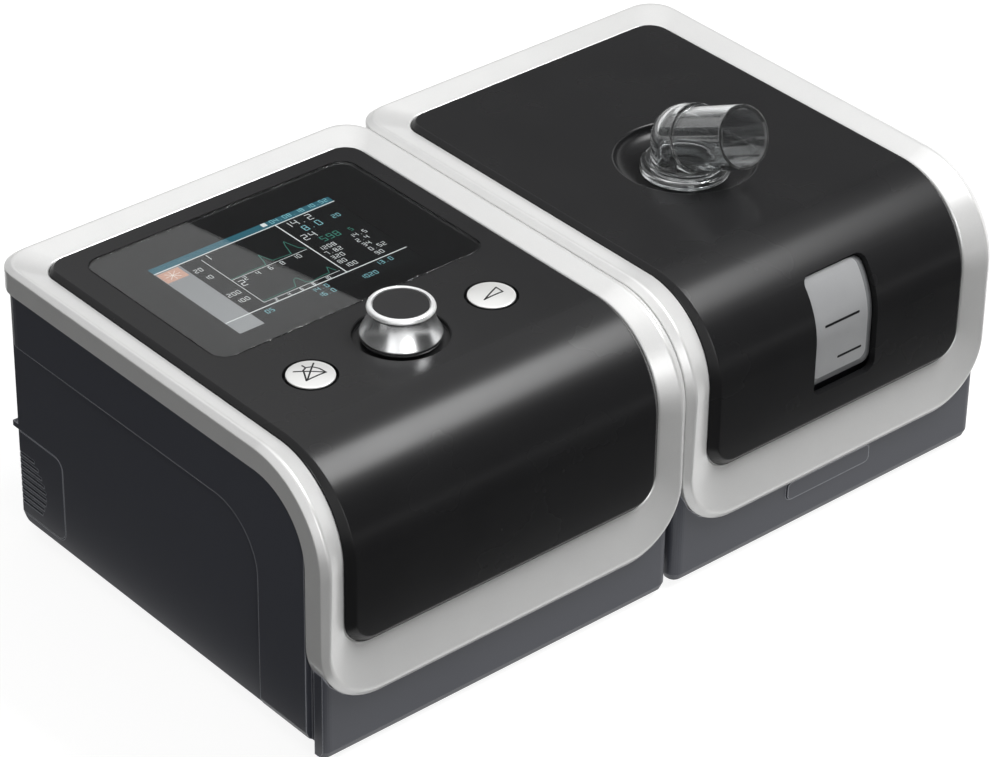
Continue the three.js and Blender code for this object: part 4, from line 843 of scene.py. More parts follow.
mask = prism("printed_mask", rounded_rectangle(*lens_outline, LENS_RADIUS), ink_top - INK_WALL, ink_top)
gap = rounded_rectangle(
    SCREEN_LEFT + INK_BORDER, SCREEN_LEFT + SCREEN_WIDTH - INK_BORDER,
    SCREEN_BACK - SCREEN_LENGTH + INK_BORDER, SCREEN_BACK - INK_BORDER, FIT, 3)
carve(mask, prism("gap", gap, PANEL_UNDER, PANEL_TOP))
# The ink lies behind the acrylic as a deep black that hardly mirrors anything.
print_black, tree, shader = new_material(
    "screen_printed_black_ink", Roughness=0.6, IOR=1.5, Specular_IOR_Level=0.02)
mottled(tree, shader, "#08080a", "#0c0c0e",
        patch=12 * MM, grain=0.2 * MM, depth=0.005 * MM, strength=0.1)
dress(mask, print_black)
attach(mask, "main_unit")

# The pixel grid is drawn coarser than a real one, which is too fine to show. The gap
# is a share of a pixel, and its light a share of the light beside it.
PIXEL = 0.25 * MM
PIXEL_GAP = 0.2
PIXEL_GAP_LIGHT = 0.9
LAYER_STEP = 0.03 * MM
LAYER_WALL = 0.02 * MM
# Widths of lines, as shares of the picture's width.
BOLD_LINE = 0.0055
LINE = 0.0036
THIN_LINE = 0.0027


def lcd_material(name, code, strength, fade=1.0):
    """Light of that colour through a grid of pixels, fading to a share of it at the back edge."""
    material, tree, shader = new_material(
        name, Roughness=0.4, Base_Color=linear("#08090a"), Specular_IOR_Level=0.02)
    place = add_node(tree, "ShaderNodeTexCoord").outputs["Object"]
    cells = add_node(tree, "ShaderNodeVectorMath", links={0: place}, operation="SCALE")
    cells.inputs["Scale"].default_value = 1 / PIXEL
    part = add_node(tree, "ShaderNodeVectorMath", links={0: cells.outputs[0]}, operation="FRACTION")
    sides = add_node(tree, "ShaderNodeSeparateXYZ", links={0: part.outputs[0]})
    least = add_node(tree, "ShaderNodeMath", operation="MINIMUM", links={
        0: sides.outputs["X"], 1: sides.outputs["Y"]})
    inside = add_node(tree, "ShaderNodeMath", {1: PIXEL_GAP}, {0: least.outputs[0]},
                      operation="GREATER_THAN")
    lit = add_node(tree, "ShaderNodeMapRange", {
        "To Min": PIXEL_GAP_LIGHT * strength, "To Max": strength}, {"Value": inside.outputs[0]})
    where = add_node(tree, "ShaderNodeSeparateXYZ", links={0: place})
    depth = add_node(tree, "ShaderNodeMapRange", {
        "From Min": SCREEN_BACK - SCREEN_LENGTH, "From Max": SCREEN_BACK,
        "To Min": 1.0, "To Max": fade}, {"Value": where.outputs["Y"]})
    glow = add_node(tree, "ShaderNodeMath", operation="MULTIPLY", links={
        0: lit.outputs["Result"], 1: depth.outputs["Result"]})
    shader.inputs["Emission Color"].default_value = linear(code)
    tree.links.new(glow.outputs[0], shader.inputs["Emission Strength"])
    return material


def on_screen(u, v, layer):
    """A point of the picture: u from its left side and v from its back edge, as shares of its size."""
    height = screen_high.z + LAYER_STEP * layer
    return Vector((SCREEN_LEFT + u * SCREEN_WIDTH, SCREEN_BACK - v * SCREEN_LENGTH, height))


def picture(name, code, strength, layer, boxes, fade=1.0):
    """Flat boxes of one colour in one layer of the picture. Each is four corners in u and v."""
    points, faces = [], []
    for corners in boxes:
        start = len(points)
        for lift in (0, LAYER_WALL):
            points += [on_screen(u, v, layer) + Vector((0, 0, lift)) for u, v in corners]
        faces += [tuple(start + i for i in (3, 2, 1, 0)), tuple(start + i for i in (4, 5, 6, 7))]
        faces += [tuple(start + i for i in (j, (j + 1) % 4, 4 + (j + 1) % 4, 4 + j)) for j in range(4)]
    piece = new_piece(name, points, faces)
    dress(piece, lcd_material(name + "_light", code, strength, fade))
    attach(piece, "main_unit")


def area(u0, u1, v0, v1):
    """A box with its sides along the picture's."""
    return [(u0, v0), (u1, v0), (u1, v1), (u0, v1)]


def stroke(u0, v0, u1, v1, width=THIN_LINE):
    """A straight line as a box. Its width is a share of the picture's width."""
    aspect = SCREEN_WIDTH / SCREEN_LENGTH
    du, dv = u1 - u0, (v1 - v0) / aspect
    length = math.hypot(du, dv)
    nu, nv = -dv / length * width / 2, du / length * width / 2 * aspect
    return [(u0 + nu, v0 + nv), (u1 + nu, v1 + nv), (u1 - nu, v1 - nv), (u0 - nu, v0 - nv)]


# The seven segments of each digit, and where each segment starts and ends in it.
SEGMENTS = {"0": "abcdef", "1": "bc", "2": "abged", "3": "abgcd", "4": "fgbc", "5": "afgcd",
            "6": "afgedc", "7": "abc", "8": "abcdefg", "9": "gfabcd", ".": "."}
SEGMENT_ENDS = {"a": (0, 0, 1, 0), "b": (1, 0, 1, 0.5), "c": (1, 0.5, 1, 1), "d": (0, 1, 1, 1),
                "e": (0, 0.5, 0, 1), "f": (0, 0, 0, 0.5), "g": (0, 0.5, 1, 0.5), ".": (0.4, 0.9, 0.4, 1)}
DIGIT_SLIM = 0.36
DIGIT_PITCH = 0.62


def digits(text, u, v, size, width=THIN_LINE):
    """Plain digits from their back left corner. Their height is a share of the picture's length."""
    boxes = []
    for i, character in enumerate(text):
        left = u + i * size * DIGIT_PITCH
        for segment in SEGMENTS.get(character, ""):
            a, b, c, d = SEGMENT_ENDS[segment]
            boxes.append(stroke(left + a * size * DIGIT_SLIM, v + b * size,
                                left + c * size * DIGIT_SLIM, v + d * size, width))
    return boxes


def curve(points):
    """A thin line through those points, box by box."""
    return [stroke(*start, *end) for start, end in zip(points, points[1:])]


# Places in the picture, and the heights of its digits, as shares of its size.
HEADER = 0.083
FOOTER = 0.83
DIVIDER = 0.662
COLUMN = 0.142
AXIS_LEFT = 0.24
AXIS_RIGHT = 0.645
UPPER_AXIS = 0.448
LOWER_AXIS = 0.785
TICKS = (0.290, 0.358, 0.424, 0.488, 0.555)
UPPER_TICK_DROP = 0.015
LOWER_TICK_DROP = 0.009
TABLE_TOP = 0.485
TABLE_PITCH = 0.066
SMALL = 0.038
MEDIUM = 0.058
LARGE = 0.064
LOWER_TICK = SMALL * 0.7

near, away = on_screen(0, 1, 0), on_screen(1, 0, 0)
screen_corners = [(near.x, near.y), (away.x, near.y), (away.x, away.y), (near.x, away.y)]
ground = prism("lcd_ground", screen_corners, near.z, near.z + LAYER_WALL)
# Where no pixel is lit, the film over the panel is an even, matt near-black.
polariser, tree, shader = new_material(
    "polariser_film_black", Roughness=0.4, IOR=1.5, Specular_IOR_Level=0.02)
mottled(tree, shader, "#08090b", "#0c0e10",
        patch=10 * MM, grain=0.3 * MM, depth=0.002 * MM, strength=0.05)
dress(ground, polariser)
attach(ground, "main_unit")
picture("lcd_header", "#2f6f80", 0.85, 1, [area(0, 1, 0, HEADER)])
picture("lcd_column", "#aeb0b2", 0.82, 1, [area(0, COLUMN, HEADER, 1)], fade=0.8)
picture("lcd_tile", "#d9ab98", 0.95, 2, [area(0.016, 0.128, 0.1, 0.225)])
rays = [
    (0.035, 0.163, 0.11, 0.163),
    (0.072, 0.112, 0.072, 0.213),
    (0.045, 0.125, 0.1, 0.2),
    (0.045, 0.2, 0.1, 0.125),
]
picture("lcd_star", "#f6ece4", 1.0, 3, [stroke(*ends) for ends in rays])
white = [
    area(0.612, 0.637, 0.016, 0.056),
    stroke(0, HEADER, 1, HEADER, BOLD_LINE),
    stroke(0.003, 0.1, 0.003, 1),
    stroke(AXIS_LEFT, 0.13, AXIS_LEFT, LOWER_AXIS),
    stroke(AXIS_LEFT, UPPER_AXIS, AXIS_RIGHT, UPPER_AXIS),
    stroke(AXIS_LEFT, LOWER_AXIS, AXIS_RIGHT, LOWER_AXIS),
    stroke(DIVIDER, HEADER, DIVIDER, FOOTER, BOLD_LINE),
    stroke(0, FOOTER, 1, FOOTER, BOLD_LINE),
    stroke(0.003, 0.997, 1, 0.997),
    stroke(0.997, HEADER, 0.997, 1),
]
# Each row has its digits and the place of their back left corner.
for text, u in zip(("2", "4", "6", "8", "10"), TICKS):
    white += digits(text, u, UPPER_AXIS + UPPER_TICK_DROP, SMALL)
    white += digits(text, u, LOWER_AXIS + LOWER_TICK_DROP, LOWER_TICK)
for text, u, v in (
        ("20", 0.160, 0.20),
        ("10", 0.160, 0.31),
        ("200", 0.152, 0.565),
        ("100", 0.152, 0.66)):
    white += digits(text, u, v, SMALL)
for text, u, v in (
        ("1", 0.255, 0.10),
        ("2", 0.255, 0.485),
        ("14.2", 0.69, 0.108),
        ("24", 0.69, 0.295)):
    white += digits(text, u, v, LARGE, LINE)
table_rows = (("1208", "14.5"), ("7.82", "2.4"), ("320", "34"), ("80", "0.52"), ("100", "90"))
for i, (left, right) in enumerate(table_rows):
    v = TABLE_TOP + i * TABLE_PITCH
    white += digits(left, 0.685, v, SMALL) + digits(right, 0.855, v, SMALL)
picture("lcd_lines", "#eef2f2", 1.0, 3, white)

cyan = []
for text, u, v, size, width in (
        ("04.08.18", 0.66, 0.018, SMALL, THIN_LINE),
        ("10.52", 0.862, 0.018, SMALL, THIN_LINE),
        ("8.0", 0.74, 0.205, MEDIUM, LINE),
        ("20", 0.90, 0.215, SMALL, THIN_LINE),
        ("05", 0.20, 0.865, SMALL, THIN_LINE),
        ("14.0", 0.45, 0.855, SMALL, THIN_LINE),
        ("13.0", 0.80, 0.855, SMALL, THIN_LINE),
        ("16.0", 0.45, 0.925, SMALL, THIN_LINE),
        ("1020", 0.68, 0.925, SMALL, THIN_LINE)):
    cyan += digits(text, u, v, size, width)
picture("lcd_values", "#9adbe4", 0.95, 3, cyan)

upper_curve = (
    (AXIS_LEFT, 0.44), (0.36, 0.43), (0.43, 0.435), (0.445, 0.37), (0.452, 0.31), (0.475, 0.42),
    (0.57, 0.43), (0.59, 0.33), (0.605, 0.28), (0.625, 0.40), (AXIS_RIGHT, 0.435))
lower_curve = (
    (AXIS_LEFT, 0.77), (0.36, 0.765), (0.42, 0.765), (0.445, 0.69), (0.465, 0.68), (0.48, 0.765),
    (0.50, 0.78), (0.56, 0.765), (0.60, 0.765), (0.62, 0.70), (0.635, 0.77))
green = digits("598", 0.745, 0.385, MEDIUM, LINE) + digits("5", 0.89, 0.41, SMALL)
green += curve(upper_curve) + curve(lower_curve)
picture("lcd_curves", "#58b8a4", 0.6, 4, green)


# Knob: turned from aluminium with a concave, polished flank and a satin rim, sunk in a
# shallow recess. Fine turning lines give it long soft streaks. A disc of black lacquer
# lies in its top.

KNOB_DISH = 0.7 * MM
KNOB_BASE_EDGE = 0.5 * MM
KNOB_UNDER_RISE = 0.9 * MM
KNOB_FLANK_RISE = 2.0 * MM
KNOB_FLANK_HOLLOW = 0.55 * MM
KNOB_WAIST_RADIUS = 10.5 * MM
KNOB_WAIST_RISE = 10.2 * MM
RIM_OUTER = 11.1 * MM
RIM_INNER = 9.3 * MM
RIM_CREST = 9.8 * MM
RIM_OUTER_DROP = 1.5 * MM
RIM_INNER_DROP = 0.4 * MM
RIM_STEPS = 16
KNOB_CORE = 5 * MM
KNOB_BORE = 2.6 * MM
KNOB_BORE_DEPTH = 5.3 * MM
KNOB_SHELL = 1.8 * MM
KNOB_ROUND = 0.35 * MM
INSERT_WALL = 0.5 * MM
GRIP_STEPS = 12
KNOB_SIDES = 144

foot, top = knob_low.z, knob_high.z
base = (knob_high.x - knob_low.x) / 2
ceiling = top - KNOB_DISH - INSERT_WALL - KNOB_SHELL
seat = top - KNOB_DISH - INSERT_WALL
wall = base - KNOB_SHELL - KNOB_BASE_EDGE
inside = [
    (0, foot + KNOB_BORE_DEPTH),
    (KNOB_BORE, foot + KNOB_BORE_DEPTH),
    (KNOB_BORE, foot),
    (KNOB_CORE, foot),
    (KNOB_CORE, ceiling),
    (KNOB_WAIST_RADIUS - KNOB_SHELL, ceiling),
    (wall, foot + KNOB_BASE_EDGE),
    (wall, foot),
]
grip = []
for i in range(1, GRIP_STEPS):
    share = i / GRIP_STEPS
    hollow = KNOB_FLANK_HOLLOW * math.sin(math.pi * share)
    flank = base + (KNOB_WAIST_RADIUS - base) * share - hollow
    grip.append((flank, foot + KNOB_FLANK_RISE + (KNOB_WAIST_RISE - KNOB_FLANK_RISE) * share))
under = softened([
    (wall, foot),
    (base - KNOB_BASE_EDGE, foot),
    (base, foot + KNOB_UNDER_RISE),
    (base, foot + KNOB_FLANK_RISE),
    grip[0],
], KNOB_ROUND)[1:-1]
waist = softened([
    grip[-1],
    (KNOB_WAIST_RADIUS, foot + KNOB_WAIST_RISE),
    (RIM_OUTER, top - RIM_OUTER_DROP),
], KNOB_ROUND)[1:-1]
rim = []
for i in range(RIM_STEPS + 1):
    angle = math.pi * i / RIM_STEPS
    edge, drop = (RIM_OUTER, RIM_OUTER_DROP) if angle < QUARTER else (RIM_INNER, RIM_INNER_DROP)
    across = RIM_CREST + abs(edge - RIM_CREST) * math.cos(angle)
    rim.append((across, top - drop * (1 - math.sin(angle))))
rim += [(RIM_INNER, seat), (0, seat)]
outside = under + grip + waist + rim
knob = turned("turned_knob", inside + outside, KNOB_PLACE, sides=KNOB_SIDES)
finish_surface(knob)

# Turning lines are drawn much longer than wide, so that they run round the axis.
TURNING_LINE = 0.12 * MM
TURNING_STRETCH = 0.02
TURNING_DEPTH = 0.01 * MM


def dress_part(piece, material, chosen):
    """A second material on the faces whose centre is chosen."""
    piece.data.materials.append(material)
    for polygon in piece.data.polygons:
        if chosen(polygon.center):
            polygon.material_index = 1


def turned_metal(name, roughness, code, metallic=1.0):
    """Aluminium with fine turning lines round the knob's axis."""
    material, tree, shader = new_material(
        name, Metallic=metallic, Roughness=roughness, Base_Color=linear(code))
    place = add_node(tree, "ShaderNodeTexCoord").outputs["Object"]
    middle = add_node(tree, "ShaderNodeMapping", {"Location": -KNOB_PLACE}, {"Vector": place})
    squeeze = add_node(tree, "ShaderNodeVectorMath", {1: (TURNING_STRETCH, TURNING_STRETCH, 1.0)},
                       {0: middle.outputs[0]}, operation="MULTIPLY")
    lines = add_node(tree, "ShaderNodeTexNoise", {"Scale": 1 / TURNING_LINE, "Detail": 1.0},
                     {"Vector": squeeze.outputs[0]})
    relief = add_node(tree, "ShaderNodeBump", {"Strength": 0.15, "Distance": TURNING_DEPTH},
                      {"Height": lines.outputs["Fac"]})
    tree.links.new(relief.outputs["Normal"], shader.inputs["Normal"])
    return material


# The flank is bright and streaked. The rim is softer, and its paler, less metallic copy of the aluminium
# is a painted highlight.
turned_aluminium = turned_metal("aluminium_turned_polished", 0.25, "#e2e3e4")
rim_satin_painted_highlight = turned_metal("aluminium_satin_painted_highlight", 0.34, "#f2f3f3", metallic=0.55)
dress_pair(knob, "knob", turned_aluminium)
# Painted highlight: the rim's faces get the paler copy.
dress_part(knob, rim_satin_painted_highlight, lambda spot: spot.z > top - RIM_OUTER_DROP)
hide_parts("knob")
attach(knob, "knob")

DISC_CHAMFER = 0.15 * MM
ROUND_SIDES = 96

insert_low, insert_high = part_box("knob_insert")
insert_radius = (insert_high.x - insert_low.x) / 2
disc = [
    (0, insert_low.z),
    (insert_radius, insert_low.z),
    (insert_radius, insert_high.z - DISC_CHAMFER),
    (insert_radius - DISC_CHAMFER, insert_high.z),
    (0, insert_high.z),
]
insert = turned("lacquered_disc", disc, KNOB_PLACE, sides=ROUND_SIDES)
finish_surface(insert)
# The lacquer shows the room as soft, dim shapes.
black_lacquer, tree, shader = new_material(
    "lacquer_satin_black", Roughness=0.3, IOR=1.5, Specular_IOR_Level=0.3)
mottled(tree, shader, "#1d1d1e", "#232324",
        patch=8 * MM, grain=1.5 * MM, depth=0.01 * MM, strength=0.05)
dress_pair(insert, "knob_insert", black_lacquer)
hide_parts("knob_insert")
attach(insert, "knob")


# Push buttons: round, slightly domed and sprayed on top in a paler silver, with the side
# below the top in dull black as painted shade in the gap round each button. Each is printed
# with a plain sign: a struck-out bell for mute and a rising wedge for ramp.

BUTTON_EDGE = 0.3 * MM
BUTTON_CROWN = 0.5 * MM
FLANGE = 1.5 * MM
FLANGE_WALL = 1.2 * MM
# The edge's chamfer, as shares of BUTTON_EDGE: where it starts below the crown's rim,
# how far it goes in, and where it ends.
EDGE_START = 1.4
EDGE_INSET = 0.3
EDGE_END = 0.4
STEM_RADIUS = 2 * MM
CROWN_STEPS = 12
SIGN_LINE = 0.55 * MM
SIGN_PROUD = 0.03 * MM

# The fine spray gives an even satin and the printing ink a matt black. The dull black on
# the side below the spray is painted shade, in the gap round each button.
button_silver, tree, shader = new_material(
    "abs_sprayed_satin_silver", Roughness=0.32, Metallic=0.35, IOR=1.5,
    Coat_Weight=0.2, Coat_Roughness=0.15)
mottled(tree, shader, "#eeeeec", "#e6e6e5",
        patch=7 * MM, grain=0.1 * MM, depth=0.01 * MM, strength=0.08)
gap_shade_black, tree, shader = new_material("abs_black_painted_gap_shade", Roughness=0.5, IOR=ABS_IOR)
mottled(tree, shader, "#101011", "#171718",
        patch=4 * MM, grain=0.2 * MM, depth=0.01 * MM, strength=0.15)
pad_print, tree, shader = new_material(
    "pad_printed_black", Roughness=0.5, IOR=1.5, Specular_IOR_Level=0.2)
mottled(tree, shader, "#131314", "#1c1c1d",
        patch=2 * MM, grain=0.08 * MM, depth=0.003 * MM, strength=0.1)


def crown(radius, button_radius, rim):
    """The height of a button's crown at that radius."""
    return rim + BUTTON_CROWN * (1 - (radius / (button_radius - BUTTON_EDGE)) ** 2)


# Lines of each sign, as places in millimetres from the button's middle.
SIGNS = {
    "mute_button": [
        [(-3.6, -2.5), (4.1, -2.5), (3.7, 0.4), (2.5, 2.5), (0.7, 3.3), (-0.9, 2.5), (-3.6, -2.5)],
        [(0.6, 3.3), (0.6, 5.0)],
        [(4.3, 4.0), (-3.2, -2.5)],
        [(-3.5, 4.0), (3.9, -2.4)],
    ],
    "ramp_button": [[(-4.0, -1.3), (3.6, -1.3), (3.6, 2.0), (-4.0, -1.3)]],
}
for name, lines in SIGNS.items():
    low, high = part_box(name)
    centre = BUTTON_PLACES[name]
    flange_radius = (high.x - low.x) / 2
    radius = flange_radius - FLANGE
    flange_top = PANEL_UNDER - FIT
    flange_under = flange_top - FLANGE_WALL
    rim = PANEL_TOP + BUTTON_EDGE
    profile = [
        (0, low.z),
        (STEM_RADIUS, low.z),
        (STEM_RADIUS, flange_under),
        (flange_radius, flange_under),
        (flange_radius, flange_top),
        (radius, flange_top),
        (radius, rim - BUTTON_EDGE * EDGE_START),
        (radius - BUTTON_EDGE * EDGE_INSET, rim - BUTTON_EDGE * EDGE_END),
    ]
    for i in range(CROWN_STEPS):
        place = (radius - BUTTON_EDGE) * (1 - i / CROWN_STEPS)
        profile.append((place, crown(place, radius, rim)))
    profile.append((0, rim + BUTTON_CROWN))
    button = turned(name + "_cap", profile, centre, sides=ROUND_SIDES)
    finish_surface(button)
    dress_pair(button, name, button_silver)
    # Painted shade: the side below the top, down in the gap, is given dull black.
    dress_part(button, gap_shade_black, lambda spot: spot.z < PANEL_TOP - BUTTON_EDGE)
    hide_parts(name)
    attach(button, name)
    points, faces = [], []
    for line in lines:
        for (x0, y0), (x1, y1) in zip(line, line[1:]):
            start, end = Vector((x0, y0)) * MM, Vector((x1, y1)) * MM
            across = (end - start).normalized().orthogonal() * SIGN_LINE / 2
            ahead = (end - start).normalized() * SIGN_LINE / 2
            start, end = start - ahead, end + ahead
            steps = max(2, round((end - start).length / MM))
            for i in range(steps + 1):
                spot = start.lerp(end, i / steps)
                for offset, lift in (
                        (-across, -SIGN_PROUD),
                        (across, -SIGN_PROUD),
                        (across, SIGN_PROUD),
                        (-across, SIGN_PROUD)):
                    place = spot + offset
                    height = crown(place.length, radius, rim) + lift
                    points.append((centre.x + place.x, centre.y + place.y, height))
            first = len(points) - 4 * (steps + 1)
            for i in range(steps):
                here = first + 4 * i
                for j in range(4):
                    k = (j + 1) % 4
                    faces.append((here + j, here + k, here + 4 + k, here + 4 + j))
            last = len(points) - 1
            faces.append((first, first + 1, first + 2, first + 3))
            faces.append((last, last - 1, last - 2, last - 3))
    sign = new_piece(name + "_sign", points, faces)
    dress(sign, pad_print)
    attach(sign, name)


# Hose elbow: moulded in clear polycarbonate with a polished skin, on a clear collar
# that is pressed into the dish. The riser turns in the collar, and the outlet has the
# standard outside diameter of a breathing hose's connector.

ELBOW_NECK = 11.8 * MM
ELBOW_FLANGE = 1.9 * MM
ELBOW_FLANGE_WALL = 1.3 * MM
ELBOW_RETAINER = 1.4 * MM
ELBOW_BORE = 9.7 * MM
ELBOW_CROWN = 12.2 * MM
ELBOW_RISE = 6.8 * MM
ELBOW_TILT = math.radians(25)
ELBOW_STEP = 6.3 * MM
OUTLET_RADIUS = 11 * MM
OUTLET_LENGTH = 30.3 * MM
OUTLET_BORE = 9.5 * MM
OUTLET_MOUTH = 0.6 * MM
MOUTH_PROUD = 0.01 * MM
RISER_END = 3 * MM
RISER_ROUND = 0.35 * MM
SPOUT_ROUND = 0.5 * MM
BALL_INSET = 0.03 * MM
BALL_STEPS = 24
BORE_STEPS = 12

elbow_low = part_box("elbow")[0]
elbow_centre = Vector((ELBOW_PLACE.x, ELBOW_PLACE.y, PANEL_TOP + ELBOW_RISE))
outlet_axis = Vector((0, -math.cos(ELBOW_TILT), math.sin(ELBOW_TILT)))
flange_low = collar_high.z + FIT
retainer_top = DISH_FLOOR - DISH_WALL - FIT
riser = softened([
    (0, elbow_low.z),
    (ELBOW_NECK + ELBOW_RETAINER, elbow_low.z),
    (ELBOW_NECK + ELBOW_RETAINER, retainer_top),
    (ELBOW_NECK, retainer_top),
    (ELBOW_NECK, flange_low),
    (ELBOW_NECK + ELBOW_FLANGE, flange_low),
    (ELBOW_NECK + ELBOW_FLANGE, flange_low + ELBOW_FLANGE_WALL),
    (ELBOW_NECK, flange_low + ELBOW_FLANGE_WALL),
    (ELBOW_NECK, elbow_centre.z - RISER_END),
], RISER_ROUND)
ball = ELBOW_CROWN - BALL_INSET
joint_angle = math.acos(ELBOW_NECK / ball)
for i in range(BALL_STEPS):
    angle = -joint_angle + (QUARTER + joint_angle) * i / BALL_STEPS
    riser.append((ball * math.cos(angle), elbow_centre.z + ball * math.sin(angle)))
riser.append((0, elbow_centre.z + ball))
elbow = turned("hose_elbow", riser, ELBOW_PLACE, sides=ROUND_SIDES)
spout = softened([
    (0, 0),
    (ELBOW_CROWN, 0),
    (ELBOW_CROWN, ELBOW_STEP),
    (OUTLET_RADIUS, ELBOW_STEP),
    (OUTLET_RADIUS, OUTLET_LENGTH),
    (0, OUTLET_LENGTH),
], SPOUT_ROUND)
carve(elbow, turned("spout", spout, elbow_centre, outlet_axis, ROUND_SIDES), "UNION")
lower_bore = [
    (0, elbow_low.z - TOOL_OVERRUN),
    (ELBOW_BORE, elbow_low.z - TOOL_OVERRUN),
    (ELBOW_BORE, elbow_centre.z),
]
for i in range(1, BORE_STEPS):
    angle = QUARTER * i / BORE_STEPS
    lower_bore.append((ELBOW_BORE * math.cos(angle), elbow_centre.z + ELBOW_BORE * math.sin(angle)))
lower_bore.append((0, elbow_centre.z + ELBOW_BORE))
carve(elbow, turned("lower_bore", lower_bore, ELBOW_PLACE, sides=ROUND_SIDES))
upper_bore = [
    (0, 0),
    (OUTLET_BORE, 0),
    (OUTLET_BORE, OUTLET_LENGTH - OUTLET_MOUTH),
    (OUTLET_BORE + OUTLET_MOUTH, OUTLET_LENGTH + MOUTH_PROUD),
    (OUTLET_BORE + OUTLET_MOUTH, OUTLET_LENGTH + TOOL_OVERRUN),
    (0, OUTLET_LENGTH + TOOL_OVERRUN),
]
carve(elbow, turned("upper_bore", upper_bore, elbow_centre, outlet_axis, ROUND_SIDES))
finish_surface(elbow)

# Slight flow marks of the moulding bend what is seen through the wall.
FLOW_MARK = 6 * MM
FLOW_DEPTH = 0.05 * MM
clear_polycarbonate, tree, shader = new_material(
    "polycarbonate_clear_polished", IOR=1.585, Roughness=0.02, Transmission_Weight=0.975)
place = add_node(tree, "ShaderNodeTexCoord").outputs["Object"]
flow = add_node(tree, "ShaderNodeTexNoise", {
    "Scale": 1 / FLOW_MARK, "Detail": 2.0, "Distortion": 1.0}, {"Vector": place})
tone = add_node(tree, "ShaderNodeMixRGB", {"Color1": linear("#dfe1e2"), "Color2": linear("#eceeee")},
                {"Fac": flow.outputs["Fac"]})
relief = add_node(tree, "ShaderNodeBump", {"Strength": 0.08, "Distance": FLOW_DEPTH},
                  {"Height": flow.outputs["Fac"]})
tree.links.new(tone.outputs["Color"], shader.inputs["Base Color"])
tree.links.new(relief.outputs["Normal"], shader.inputs["Normal"])
dress_pair(elbow, "elbow", clear_polycarbonate)
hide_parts("elbow")
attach(elbow, "elbow")

COLLAR_CHAMFER = 0.6 * MM
COLLAR_ROUND = 0.25 * MM

collar_radius = (collar_high.x - collar_low.x) / 2
collar_bore = ELBOW_NECK + FIT
collar_section = softened([
    (collar_bore, (collar_low.z + collar_high.z) / 2),
    (collar_bore, collar_low.z),
    (collar_radius, collar_low.z),
    (collar_radius, collar_high.z - COLLAR_CHAMFER),
    (collar_radius - COLLAR_CHAMFER, collar_high.z),
    (collar_bore, collar_high.z),
    (collar_bore, (collar_low.z + collar_high.z) / 2),
], COLLAR_ROUND)[:-1]
collar = turned("clear_collar", collar_section, ELBOW_PLACE, sides=ROUND_SIDES)
finish_surface(collar)
dress_pair(collar, "elbow_collar", clear_polycarbonate)
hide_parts("elbow_collar")
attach(collar, "lid")


# Water window: a smoked, finely frosted acrylic pane set back in its slot in the lid,
# with a sloping band at its right and foot and a long and a short printed level line.

WINDOW_SINK = 1.5 * MM
WINDOW_WALL = 2 * MM
LEVEL_LINE = 0.9 * MM
BAND = 3 * MM
BAND_DROP = 1.1 * MM
PRINT_UNDER = 0.01 * MM
PRINT_TOP = 0.05 * MM
# Where each line starts and ends from the pane's middle, and how high it is above the
# pane's foot, in millimetres.
LEVEL_LINES = {"level_line_long": (-8.75, 7.15, 22.0), "level_line_short": (-2.45, 8.65, 8.0)}

half, back_run, front_run, back_radius, front_radius = window_outline
pane_outline = (
    half - FIT, back_run + FIT, front_run - FIT - WINDOW_SILL, back_radius - FIT, front_radius - FIT)
flat_outline = (pane_outline[0] - BAND / 2, pane_outline[1], pane_outline[2] - BAND, *pane_outline[3:])
pane_high = PANEL_RISE - WINDOW_SINK
rows = []
for outline, middle, rise in (
        (pane_outline, window_middle, pane_high - WINDOW_WALL),
        (pane_outline, window_middle, pane_high - BAND_DROP),
        (flat_outline, window_middle - BAND / 2, pane_high)):
    rows.append([on_face(middle + x, run, rise) for x, run in around(outline)])
pane = new_piece("frosted_pane", *skin(rows, False))
finish_surface(pane)
# The frosting blurs what lies behind the pane. The sloping band at its right and foot is
# given a darker grey as painted shade, where it faces away from the light.
FROST = 0.4 * MM
SMOKE = 14 * MM
smoked, tree, shader = new_material("acrylic_smoked_frosted", IOR=1.49, Transmission_Weight=0.25)
place = add_node(tree, "ShaderNodeTexCoord").outputs["Object"]
frost = add_node(tree, "ShaderNodeTexNoise", {"Scale": 1 / FROST, "Detail": 2.0}, {"Vector": place})
haze = add_node(tree, "ShaderNodeTexNoise", {"Scale": 1 / SMOKE, "Detail": 2.0}, {"Vector": place})
rough = add_node(tree, "ShaderNodeMapRange", {"To Min": 0.25, "To Max": 0.34},
                 {"Value": frost.outputs["Fac"]})
tone = add_node(tree, "ShaderNodeMixRGB", {"Color1": linear("#b2b3b5"), "Color2": linear("#bebfc0")},
                {"Fac": haze.outputs["Fac"]})
tree.links.new(tone.outputs["Color"], shader.inputs["Base Color"])
tree.links.new(rough.outputs["Result"], shader.inputs["Roughness"])
band_painted_shade, tree, shader = new_material("acrylic_smoked_painted_shade", IOR=1.49, Roughness=0.3)
mottled(tree, shader, "#6f7072", "#7d7e80",
        patch=6 * MM, grain=0.4 * MM, depth=0.01 * MM, strength=0.1)
band_side = window_middle - BAND / 2 + flat_outline[0]
band_foot = BEND_LENGTH + BEND_Z - flat_outline[2]
dress_pair(pane, "water_window", smoked)
# Painted shade: the band's faces get the darker grey.
dress_part(pane, band_painted_shade, lambda spot: spot.x > band_side or spot.z < band_foot)
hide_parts("water_window")
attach(pane, "lid")
for name, (left, right, height) in LEVEL_LINES.items():
    run = run_at_height(pane_low.z + height * MM)
    outline = ((right - left) / 2 * MM, run - LEVEL_LINE / 2, run + LEVEL_LINE / 2, FIT, FIT)
    middle = window_middle + (left + right) / 2 * MM
    line = face_block(name, outline, middle, (pane_high + PRINT_UNDER, pane_high + PRINT_TOP))
    dress(line, pad_print)
    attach(line, "lid")


